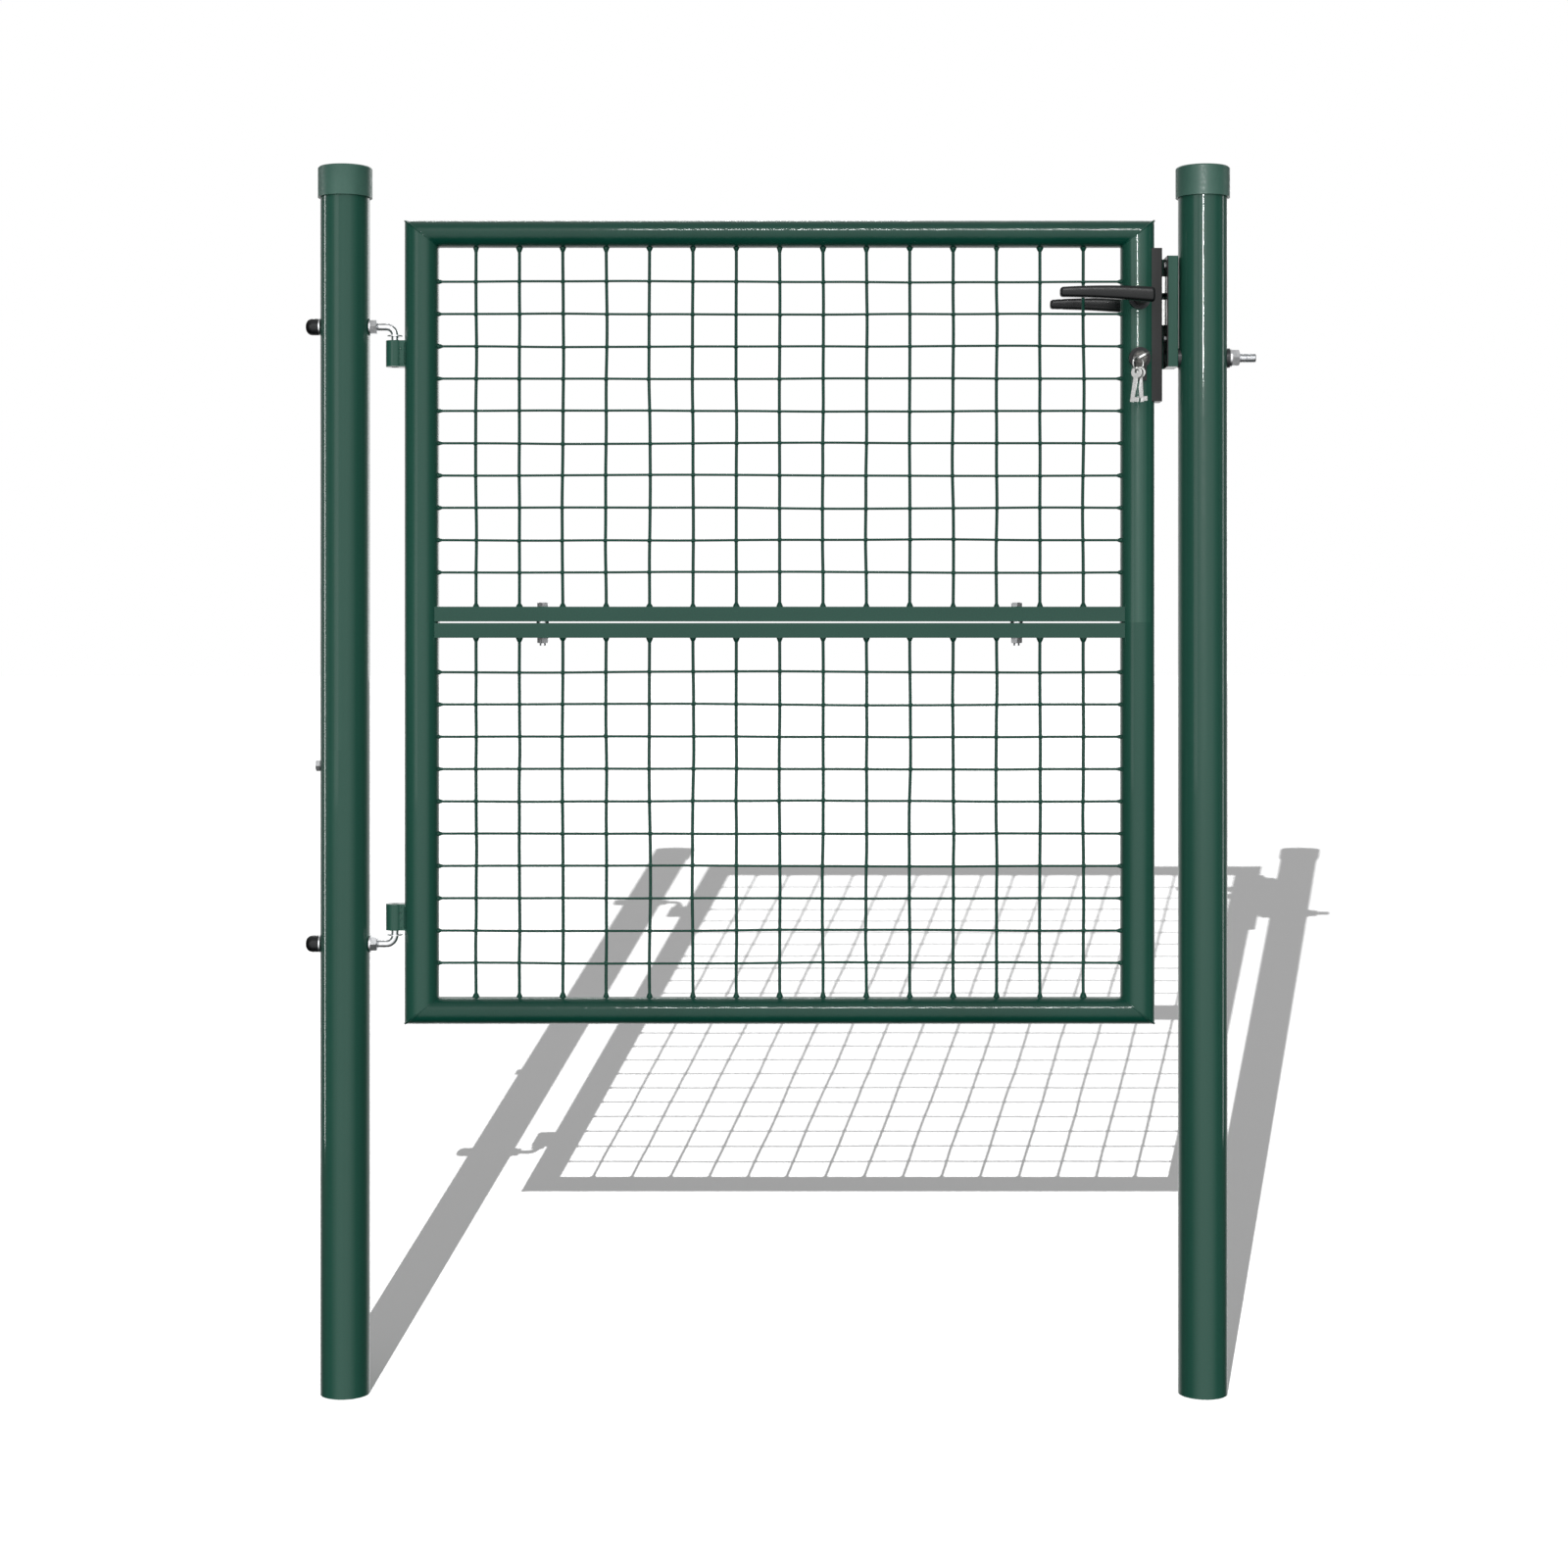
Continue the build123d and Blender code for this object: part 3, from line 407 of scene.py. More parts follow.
# ---------------------------------------------------------------- mesh building
def steady(seed: int) -> random.Random:
    """A random source that gives the same numbers on every run."""
    return random.Random(seed)


def smooth_run(start: Vector, end: Vector, step: float) -> list[Vector]:
    """Evenly spaced points from start to end, no further apart than step."""
    count = max(1, math.ceil((end - start).length / step))
    return [start.lerp(end, i / count) for i in range(count + 1)]


def arc(
    centre: Vector, first: Vector, second: Vector, count: int, angle: float = math.pi / 2
) -> list[Vector]:
    """Points on an arc.

    Args:
        centre: The arc's centre.
        first: From the centre to the arc's start.
        second: The same length, square to first, on the arc's side.
        count: Steps along the arc.
        angle: The angle it turns through.

    Returns:
        The points, ends included.
    """
    turns = [angle * i / count for i in range(count + 1)]
    return [centre + first * math.cos(t) + second * math.sin(t) for t in turns]


@dataclass
class Skin:
    """Points and faces gathered for one piece."""

    points: list[Vector] = field(default_factory=list)
    faces: list[tuple[int, ...]] = field(default_factory=list)

    def tube(
        self, path: Sequence[Vector], radius: float | Shape, sides: int = 12, closed: bool = False
    ) -> None:
        """Adds a round bar along a path.

        Args:
            path: Points of the centre line.
            radius: The radius, or a function of the point's number and the angle round the bar.
            sides: Facets round the bar.
            closed: Whether the path runs back into its start.
        """
        count = len(path)
        ends = [path[(i + 1) % count] - path[i - 1] for i in range(count)]
        if not closed:
            ends[0] = path[1] - path[0]
            ends[-1] = path[-1] - path[-2]
        side = ends[0].orthogonal().normalized()
        base = len(self.points)
        for i, point in enumerate(path):
            along = ends[i].normalized()
            side = (side - along * side.dot(along)).normalized()
            up = along.cross(side)
            for k in range(sides):
                angle = 2 * math.pi * k / sides
                reach = radius(i, angle) if callable(radius) else radius
                across, lift = reach * math.cos(angle), reach * math.sin(angle)
                self.points.append(point + side * across + up * lift)
        rings = count if closed else count - 1
        for i in range(rings):
            low = base + i * sides
            high = base + ((i + 1) % count) * sides
            for k in range(sides):
                n = (k + 1) % sides
                self.faces.append((low + k, low + n, high + n, high + k))
        if not closed:
            self.faces.append(tuple(base + k for k in reversed(range(sides))))
            self.faces.append(tuple(base + (count - 1) * sides + k for k in range(sides)))

    def loft(self, rings: Sequence[Sequence[Vector]]) -> None:
        """Adds a skin over a row of outlines, closed flat at both ends.

        Args:
            rings: The outlines, each with the same number of points.
        """
        base = len(self.points)
        sides = len(rings[0])
        for ring in rings:
            self.points.extend(ring)
        for i in range(len(rings) - 1):
            low, high = base + i * sides, base + (i + 1) * sides
            for k in range(sides):
                n = (k + 1) % sides
                self.faces.append((low + k, low + n, high + n, high + k))
        self.faces.append(tuple(base + k for k in reversed(range(sides))))
        self.faces.append(tuple(base + (len(rings) - 1) * sides + k for k in range(sides)))

    def turned(
        self, start: Vector, way: Vector, profile: Sequence[tuple[float, float]], sides: int = 24
    ) -> None:
        """Adds a turned shape.

        Args:
            start: Where the axis starts.
            way: Direction of the axis.
            profile: Distance along the axis and radius, from start to end.
            sides: Facets round the axis.
        """
        along = way.normalized()
        path = [start + along * (distance + 1e-7 * i) for i, (distance, _) in enumerate(profile)]
        self.tube(path, lambda i, _: profile[i][1], sides)

    def bead(
        self, path: Sequence[Vector], radius: float, seed: int, ripple: float, closed: bool = False
    ) -> None:
        """Adds a weld bead: a rope of small overlapping scales.

        Args:
            path: Points of the bead's centre line.
            radius: Its radius.
            seed: Number that sets its unevenness.
            ripple: Points of the path in one scale.
            closed: Whether the bead runs all round.
        """
        source = steady(seed)
        wander = [source.uniform(0.86, 1.1) for _ in path]
        last = len(path) - 1

        def reach(i: int, _: float) -> float:
            """The bead's radius at a point, thin at its two ends."""
            scale = 1 - 0.22 * ((i % ripple) / ripple)
            taper = 1.0 if closed else min(1.0, 0.35 + 0.4 * min(i, last - i))
            return radius * scale * taper * wander[i]

        self.tube(path, reach, 10, closed=closed)

    def nugget(self, centre: Vector, size: Vector, seed: int, rings: int = 5, sides: int = 8) -> None:
        """Adds a small uneven lump of weld metal.

        Args:
            centre: Its middle.
            size: Its half sizes.
            seed: Number that sets its unevenness.
            rings: Rows of faces from pole to pole.
            sides: Faces in a row.
        """
        base = len(self.points)
        offset = Vector((seed * 1.7, seed * 0.9, seed * 2.3))
        for i in range(rings + 1):
            lift = math.pi * i / rings
            for k in range(sides):
                turn = 2 * math.pi * k / sides
                ring = math.sin(lift)
                way = Vector((ring * math.cos(turn), ring * math.sin(turn), math.cos(lift)))
                bump = 1 + 0.22 * noise.noise(way * 1.3 + offset)
                self.points.append(centre + Vector(w * s * bump for w, s in zip(way, size)))
        for i in range(rings):
            for k in range(sides):
                n = (k + 1) % sides
                low, high = base + i * sides, base + (i + 1) * sides
                self.faces.append((low + k, high + k, high + n, low + n))

    def make(
        self, name: str, body: Body | None, slot: Slot, shop: PaintShop, stands_for: Iterable[str] = ()
    ) -> bpy.types.Object:
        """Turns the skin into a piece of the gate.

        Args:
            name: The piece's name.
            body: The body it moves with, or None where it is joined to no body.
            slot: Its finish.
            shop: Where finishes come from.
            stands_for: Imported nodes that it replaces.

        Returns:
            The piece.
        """
        mesh = bpy.data.meshes.new(name)
        mesh.from_pydata(self.points, [], self.faces)
        mesh.validate()
        mesh.update()
        piece = bpy.data.objects.new(name, mesh)
        bpy.context.scene.collection.objects.link(piece)
        mesh.shade_smooth()
        mesh.set_sharp_from_angle(angle=math.radians(50))
        shop.coat(piece, slot)
        if body is not None:
            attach(piece, body.value)
        nodes = tuple(stands_for)
        if nodes:
            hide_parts(*nodes)
        log.info("made %s: %d faces", name, len(mesh.polygons))
        return piece


def span_of(*nodes: str) -> tuple[Vector, Vector]:
    """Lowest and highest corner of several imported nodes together."""
    boxes = [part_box(node) for node in nodes]
    low = Vector(min(b[0][i] for b in boxes) for i in range(3))
    high = Vector(max(b[1][i] for b in boxes) for i in range(3))
    return low, high


# ---------------------------------------------------------------- mesh panels
@dataclass
class MeshPanel:
    """One half's welded mesh: upright wires behind, cross wires in front, a weld at every crossing."""

    half: str
    seed: int
    upright_count: int = 15
    cross_count: int = 10
    sway: float = 0.9 * MM
    step: float = 9 * MM
    weld_shape: Colour = (1.5, 1.0, 1.35)
    weld_size: float = 1.1
    weld_sink: float = 0.92
    foot_reach: float = 5.5 * MM
    foot_spread: float = 2.1

    def __post_init__(self) -> None:
        """Reads the wires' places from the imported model."""
        self.upright_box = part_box(f"{self.half}_upright_wires")
        self.cross_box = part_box(f"{self.half}_cross_wires")
        self.upright_radius = (self.upright_box[1].y - self.upright_box[0].y) / 2
        self.cross_radius = (self.cross_box[1].y - self.cross_box[0].y) / 2
        self.upright_y = (self.upright_box[0].y + self.upright_box[1].y) / 2
        self.cross_y = (self.cross_box[0].y + self.cross_box[1].y) / 2

    def wander(self, number: int, length: float) -> Callable[[float], float]:
        """How far a wire strays sideways.

        Args:
            number: The wire's number.
            length: The wire's length.

        Returns:
            A function of the distance along the wire, zero at both ends.
        """
        source = steady(self.seed * 100 + number)
        waves = [(source.uniform(-1, 1) / n, source.uniform(0, 2 * math.pi), n) for n in (1, 2, 4, 6)]

        def stray(distance: float) -> float:
            """The wire's sideways place at a distance along it."""
            share = distance / length
            hold = min(1.0, 6 * min(share, 1 - share))
            return self.sway * hold * sum(a * math.sin(2 * math.pi * n * share + p) for a, p, n in waves)

        return stray

    def wires(self) -> tuple[list[list[Vector]], list[list[Vector]]]:
        """The centre lines of the upright and the cross wires."""
        low, high = self.upright_box
        left, right = low.x + self.upright_radius, high.x - self.upright_radius
        length = high.z - low.z
        uprights = []
        for i in range(self.upright_count):
            x = left + (right - left) * i / (self.upright_count - 1)
            stray = self.wander(i, length)
            ends = Vector((x, self.upright_y, low.z)), Vector((x, self.upright_y, high.z))
            run = smooth_run(*ends, self.step)
            uprights.append([p + Vector((stray(p.z - low.z), 0, 0)) for p in run])
        low, high = self.cross_box
        bottom, top = low.z + self.cross_radius, high.z - self.cross_radius
        length = high.x - low.x
        crosses = []
        for j in range(self.cross_count):
            z = bottom + (top - bottom) * j / (self.cross_count - 1)
            stray = self.wander(50 + j, length)
            ends = Vector((low.x, self.cross_y, z)), Vector((high.x, self.cross_y, z))
            run = smooth_run(*ends, self.step)
            crosses.append([p + Vector((0, 0, stray(p.x - low.x))) for p in run])
        return uprights, crosses

    @staticmethod
    def at(line: list[Vector], axis: int, place: float) -> Vector:
        """The point of a wire where one coordinate has a given value."""
        share = (place - line[0][axis]) / (line[-1][axis] - line[0][axis]) * (len(line) - 1)
        i = min(len(line) - 2, max(0, int(share)))
        return line[i].lerp(line[i + 1], share - i)

    def foot(self, skin: Skin, end: Vector, inwards: Vector, radius: float, seed: int) -> None:
        """Adds the flared weld where a wire meets the frame."""
        source = steady(seed)
        spread = self.foot_spread * radius * source.uniform(0.88, 1.12)
        reach = self.foot_reach * source.uniform(0.8, 1.2)
        profile = [(-1.5 * MM, 0.8 * spread), (0, spread), (0.3 * reach, 0.86 * spread)]
        profile += [(0.62 * reach, 0.66 * spread), (0.85 * reach, 1.1 * radius), (reach, 0.9 * radius)]
        skin.turned(end, inwards, profile, 12)

    def build(self, shop: PaintShop) -> None:
        """Makes the wires and their welds.

        Args:
            shop: Where finishes come from.
        """
        uprights, crosses = self.wires()
        standing, lying, welds = Skin(), Skin(), Skin()
        for line in uprights:
            standing.tube(line, self.upright_radius, 12)
        for line in crosses:
            lying.tube(line, self.cross_radius, 10)
        number = self.seed * 1000
        for upright in uprights:
            for cross in crosses:
                number += 1
                z = self.at(cross, 0, upright[0].x).z
                point = self.at(upright, 2, z)
                middle = Vector((point.x, self.upright_y - self.weld_sink * self.upright_radius, z))
                size = Vector(self.weld_shape) * (self.weld_size * self.upright_radius)
                welds.nugget(middle, size, number)
        for line in uprights:
            number += 2
            self.foot(welds, line[0], Vector((0, 0, 1)), self.upright_radius, number)
            self.foot(welds, line[-1], Vector((0, 0, -1)), self.upright_radius, number + 1)
        for line in crosses:
            number += 2
            self.foot(welds, line[0], Vector((1, 0, 0)), self.cross_radius, number)
            self.foot(welds, line[-1], Vector((-1, 0, 0)), self.cross_radius, number + 1)
        coat = Slot.GREEN_COAT
        standing.make(f"{self.half}_wavy_uprights", Body.LEAF, coat, shop, [f"{self.half}_upright_wires"])
        lying.make(f"{self.half}_wavy_crosses", Body.LEAF, coat, shop, [f"{self.half}_cross_wires"])
        welds.make(f"{self.half}_mesh_welds", Body.LEAF, coat, shop)


# ---------------------------------------------------------------- threads
@dataclass(frozen=True)
class Thread:
    """A rolled metric thread."""

    radius: float
    pitch: float
    sides: int = 20
    rows: int = 6
    depth_share: float = 0.58
    flank: float = 2.4
    crest: float = 0.1
    run_in_pitches: float = 0.8

    @property
    def depth(self) -> float:
        """Depth from crest to root."""
        return self.depth_share * self.pitch

    def path(self, start: Vector, end: Vector) -> list[Vector]:
        """Points of the threaded run, a few in each pitch."""
        return smooth_run(start, end, self.pitch / self.rows)

    def reach(self, count: int) -> Shape:
        """The radius at a point of the run, with its two ends chamfered.

        Args:
            count: How many points the run has.

        Returns:
            A function of the point's number and the angle.
        """

        def radius(i: int, angle: float) -> float:
            """Radius at one point of the thread."""
            phase = (i / self.rows - angle / (2 * math.pi)) % 1.0
            fall = self.depth * (1 - min(1.0, max(0.0, self.flank * abs(phase - 0.5) - self.crest)))
            run_in = self.depth * max(0.0, 1 - min(i, count - 1 - i) / (self.run_in_pitches * self.rows))
            return self.radius - max(fall, run_in)

        return radius


@dataclass
class HingeBolt:
    """An L-shaped hinge bolt: threaded leg through the post, bend, and pin into the leaf's barrel."""

    level: str
    way: int
    pin_radius: float = 4.5 * MM
    bend_radius: float = 10.5 * MM
    leg_end: float = 42.6 * MM
    thread: Thread = Thread(5 * MM, 1.5 * MM)

    def build(self, shop: PaintShop) -> None:
        """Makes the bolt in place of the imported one.

        Args:
            shop: Where finishes come from.
        """
        node = f"{self.level}_hinge_bolt"
        low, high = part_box(node)
        y = (low.y + high.y) / 2
        height = high.z - self.thread.radius if self.way < 0 else low.z + self.thread.radius
        pin_x = high.x - self.pin_radius
        pin_end = low.z if self.way < 0 else high.z
        skin = Skin()
        run = self.thread.path(Vector((low.x, y, height)), Vector((self.leg_end, y, height)))
        skin.tube(run, self.thread.reach(len(run)), self.thread.sides)
        bend = self.bend_radius
        centre = Vector((pin_x - bend, y, height + self.way * bend))
        outer, inner = Vector((self.leg_end - MM, y, height)), Vector((pin_x - bend, y, height))
        path = smooth_run(outer, inner, 2 * MM)
        path += arc(centre, Vector((0, 0, -self.way * bend)), Vector((bend, 0, 0)), 14)[1:]
        path += smooth_run(path[-1], Vector((pin_x, y, pin_end - self.way * MM)), 3 * MM)[1:]
        path.append(Vector((pin_x, y, pin_end)))
        last = len(path) - 1
        skin.tube(path, lambda i, _: self.pin_radius - (MM if i == last else 0.0), 24)
        skin.make(f"{self.level}_threaded_hinge_bolt", Body.POSTS, Slot.ZINC, shop, [node])


@dataclass
class KeeperBolt:
    """The long bolt that holds the keeper to the latch post, with its free end showing."""

    thread: Thread = Thread(6 * MM, 1.75 * MM, 24)
    head_flats: float = 19 * MM
    head_height: float = 7 * MM
    head_scale: tuple[float, ...] = (0.80, 0.86, 1.0, 1.0)

    def build(self, shop: PaintShop) -> None:
        """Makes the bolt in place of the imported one.

        Args:
            shop: Where finishes come from.
        """
        low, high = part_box("keeper_bolt")
        middle = (low + high) / 2
        start = Vector((low.x + 0.5 * self.head_height, middle.y, middle.z))
        skin = Skin()
        run = self.thread.path(start, Vector((high.x, middle.y, middle.z)))
        skin.tube(run, self.thread.reach(len(run)), self.thread.sides)
        corner = self.head_flats / math.sqrt(3)
        shank = Vector((low.x, middle.y, middle.z))
        path = [shank + Vector((d, 0, 0)) for d in (0, 1e-6, 0.12 * self.head_height, self.head_height)]
        skin.tube(path, lambda i, _: corner * self.head_scale[i], 6)
        skin.make("threaded_keeper_bolt", Body.POSTS, Slot.ZINC, shop, ["keeper_bolt"])


# ---------------------------------------------------------------- spring
@dataclass
class LatchSpring:
    """The coil spring behind the latch bolt, which shortens as the bolt is drawn back; here it is built at
    one length.
    """

    wire_radius: float = 0.6 * MM
    turns: int = 6
    steps: int = 20

    def build(self, shop: PaintShop) -> None:
        """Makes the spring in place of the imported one.

        Args:
            shop: Where finishes come from.
        """
        low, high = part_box("latch_spring")
        middle = (low + high) / 2
        reach = (high.z - low.z) / 2 - self.wire_radius
        count = self.turns * self.steps
        first, last = low.x + self.wire_radius, high.x - self.wire_radius
        path = []
        for i in range(count + 1):
            turn = 2 * math.pi * i / self.steps
            x = first + (last - first) * i / count
            across, lift = reach * math.sin(turn), reach * math.cos(turn)
            path.append(Vector((x, middle.y + across, middle.z + lift)))
        skin = Skin()
        skin.tube(path, self.wire_radius, 10)
        spring = skin.make("coiled_latch_spring", None, Slot.ZINC, shop, ["latch_spring"])
        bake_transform(spring)


# ---------------------------------------------------------------- levers
@dataclass
class Lever:
    """A moulded lever: a tapered, slightly arched grip with soft corners, on a round neck."""

    node: str
    side: int
    thickness: float = 14 * MM
    heel_height: float = 18 * MM
    tip_height: float = 12 * MM
    arch: float = 1.9 * MM
    rounding: float = 3.4 * MM
    neck_radius: float = 8 * MM
    squareness: float = 3.2
    ridges: bool = False
    ridge_start: float = 0.86
    ridge_depth: float = 0.45 * MM
    taper: float = 1.4
    section_points: int = 40
    flare: float = 1.5 * MM
    collar: float = 0.8 * MM

    def outline(self, x: float, low: float, high: float, inset: float) -> list[Vector]:
        """The grip's section at one place along it.

        Args:
            x: The place.
            low: Bottom of the section.
            high: Top of the section.
            inset: How far the section is drawn in near an end.

        Returns:
            The section's points.
        """
        middle_y = self.face - self.side * self.thickness / 2
        wide, tall = self.thickness / 2 - inset, (high - low) / 2 - inset
        points = []
        for k in range(self.section_points):
            turn = 2 * math.pi * (k + 0.5) / self.section_points
            across, up = math.cos(turn), math.sin(turn)
            y = math.copysign(abs(across) ** (2 / self.squareness), across) * wide
            z = math.copysign(abs(up) ** (2 / self.squareness), up) * tall
            points.append(Vector((x, middle_y + y, (low + high) / 2 + z)))
        return points

    def grip(self, low: Vector, high: Vector) -> list[list[Vector]]:
        """The grip's sections from heel to tip."""
        length = high.x - low.x
        ends = [self.rounding * (1 - math.cos(math.pi / 2 * i / 6)) for i in range(7)]
        places = ends + [length * i / 40 for i in range(2, 39)] + [length - d for d in reversed(ends)]
        rings = []
        for place in sorted(p for p in places if 0 <= p <= length):
            share = place / length
            near = min(place, length - place)
            along = 1 - min(1.0, near / self.rounding)
            inset = self.rounding * (1 - math.sqrt(max(0.0, 1 - along**2)))
            top = high.z - self.arch * (2 * share - 1) ** 2
            tall = self.heel_height + (self.tip_height - self.heel_height) * share**self.taper
            if self.ridges and share > self.ridge_start:
                inset += self.ridge_depth * (1 + math.cos(place / MM * math.pi)) / 2
            rings.append(self.outline(high.x - place, top - tall, top, inset))
        return rings

    def build(self, shop: PaintShop) -> None:
        """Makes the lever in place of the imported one.

        Args:
            shop: Where finishes come from.
        """
        low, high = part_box(self.node)
        self.face = low.y if self.side < 0 else high.y
        root = high.y if self.side < 0 else low.y
        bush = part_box("lever_bushes")
        axis = (bush[0] + bush[1]) / 2
        skin = Skin()
        skin.loft(self.grip(low, high))
        reach = abs(self.face - root) - 0.5 * self.thickness
        inner_face = reach - 0.5 * self.thickness
        bevel = 0.6 * MM
        wide = self.neck_radius + self.collar
        profile = [(0, self.neck_radius - bevel), (bevel, self.neck_radius)]
        profile += [(inner_face - self.flare, self.neck_radius), (inner_face, wide), (reach, wide)]
        skin.turned(Vector((axis.x, root, axis.z)), Vector((0, self.side, 0)), profile, 40)
        skin.make(f"moulded_{self.node}", Body.HANDLE, Slot.BLACK_PLASTIC, shop, [self.node])


# ---------------------------------------------------------------- welds of the frame
@dataclass
class FrameWelds:
    """Beads at the mitred corners, the middle rails' ends and the hinge barrels."""

    bead_radius: float = 1.5 * MM
    sunk: float = 0.9 * MM
    count: int = 72
    rail_overlap: float = 1.5 * MM
    rail_share: float = 0.8
    rail_bead: float = 1.6
    barrel_bead: float = 1.5 * MM
    barrel_side: float = 8.8 * MM
    barrel_margin: float = 2 * MM
    barrel_sunk: float = 1.2 * MM
    spacing: float = 1.3 * MM
    specks: int = 12
    speck_reach: tuple[float, float] = (2.5, 9.0)
    speck_size: tuple[float, float] = (0.35, 0.7)
    speck_side: float = 1.2 * MM

    def mitre(self, skin: Skin, corner: Vector, way: Vector, seed: int) -> None:
        """Adds the bead along one mitred corner.

        Args:
            skin: The skin it joins.
            corner: The frame's outer corner.
            way: Towards the frame's inside along X and Z, as the stile's width and the rail's height.
            seed: Number that sets its unevenness.
        """
        middle = corner + way / 2
        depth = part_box("upper_hinge_stile")[1].y - self.sunk
        across = way / 2 * (1 - self.sunk / (way.length / 2))
        turns = [2 * math.pi * i / self.count for i in range(self.count)]
        path = [middle + across * math.cos(t) + Vector((0, depth * math.sin(t), 0)) for t in turns]
        skin.bead(path, self.bead_radius, seed, 3, closed=True)

    def rail_end(self, skin: Skin, node: str, right: bool, seed: int) -> None:
        """Adds the fillets above and below one end of a middle rail."""
        low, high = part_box(node)
        x = high.x - self.rail_overlap if right else low.x + self.rail_overlap
        for number, z in enumerate((high.z, low.z)):
            start = Vector((x, low.y * self.rail_share, z))
            end = Vector((x, high.y * self.rail_share, z))
            path = smooth_run(start, end, 1.4 * MM)
            skin.bead(path, self.rail_bead * self.bead_radius, seed + number, 3)

    def barrel(self, skin: Skin, node: str, stile_x: float, seed: int) -> None:
        """Adds the two upright beads that join a hinge barrel to its stile."""
        low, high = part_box(node)
        for number, side in enumerate((-1, 1)):
            y = side * self.barrel_side
            foot, head = low.z + self.barrel_margin, high.z - self.barrel_margin
            path = smooth_run(Vector((stile_x, y, foot)), Vector((stile_x, y, head)), self.spacing)
            skin.bead(path, self.barrel_bead, seed + number, 3)
            self.spatter(skin, path, side, seed + number)

    def spatter(self, skin: Skin, path: Sequence[Vector], side: int, seed: int) -> None:
        """Adds specks of weld metal beside a barrel's bead.

        Args:
            skin: The skin they join.
            path: The bead's centre line.
            side: The side of the barrel, along Y.
            seed: Number that sets their places.
        """
        source = steady(seed)
        for number in range(self.specks):
            place = source.choice(path)
            place = place + Vector((-source.uniform(*self.speck_reach) * MM, side * self.speck_side, 0))
            size = source.uniform(*self.speck_size) * MM
            skin.nugget(place, Vector((size, size, size)), seed * 20 + number, 4, 6)

    def build(self, shop: PaintShop) -> None:
        """Makes all the beads.

        Args:
            shop: Where finishes come from.
        """
        low, high = span_of("top_rail", "bottom_rail")
        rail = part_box("top_rail")
        height = rail[1].z - rail[0].z
        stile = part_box("upper_hinge_stile")
        width = stile[1].x - stile[0].x
        skin = Skin()
        seed = 900
        for x, step_x in ((low.x, width), (high.x, -width)):
            for z, step_z in ((high.z, -height), (low.z, height)):
                self.mitre(skin, Vector((x, 0, z)), Vector((step_x, 0, step_z)), seed)
                seed += 1
        for node in ("upper_mid_rail", "lower_mid_rail"):
            for right in (False, True):
                self.rail_end(skin, node, right, seed)
                seed += 2
        for node in ("upper_hinge_barrel", "lower_hinge_barrel"):
            self.barrel(skin, node, stile[0].x + self.barrel_sunk, seed)
            seed += 2
        skin.make("frame_welds", Body.LEAF, Slot.GREEN_COAT, shop)


# ---------------------------------------------------------------- studio
@dataclass(frozen=True)
class SoftBox:
    """A rectangular lamp: where it stands from the gate's middle, its size, and how bright it looks.

    It lights only the pieces whose names hold one of its words, or every piece where it has none. A
    lamp that only gleams makes highlights and adds nothing to the colour under them.
    """

    name: str
    place: tuple[float, float, float]
    size: tuple[float, float]
    glow: float
    words: tuple[str, ...] = ("",)
    only_gleams: bool = False

    def lights(self, piece: bpy.types.Object) -> bool:
        """Whether the lamp lights a piece."""
        return any(word in piece.name for word in self.words)

    @property
    def power(self) -> float:
        """Power in watts that gives the glow."""
        return self.glow * math.pi * self.size[0] * self.size[1]


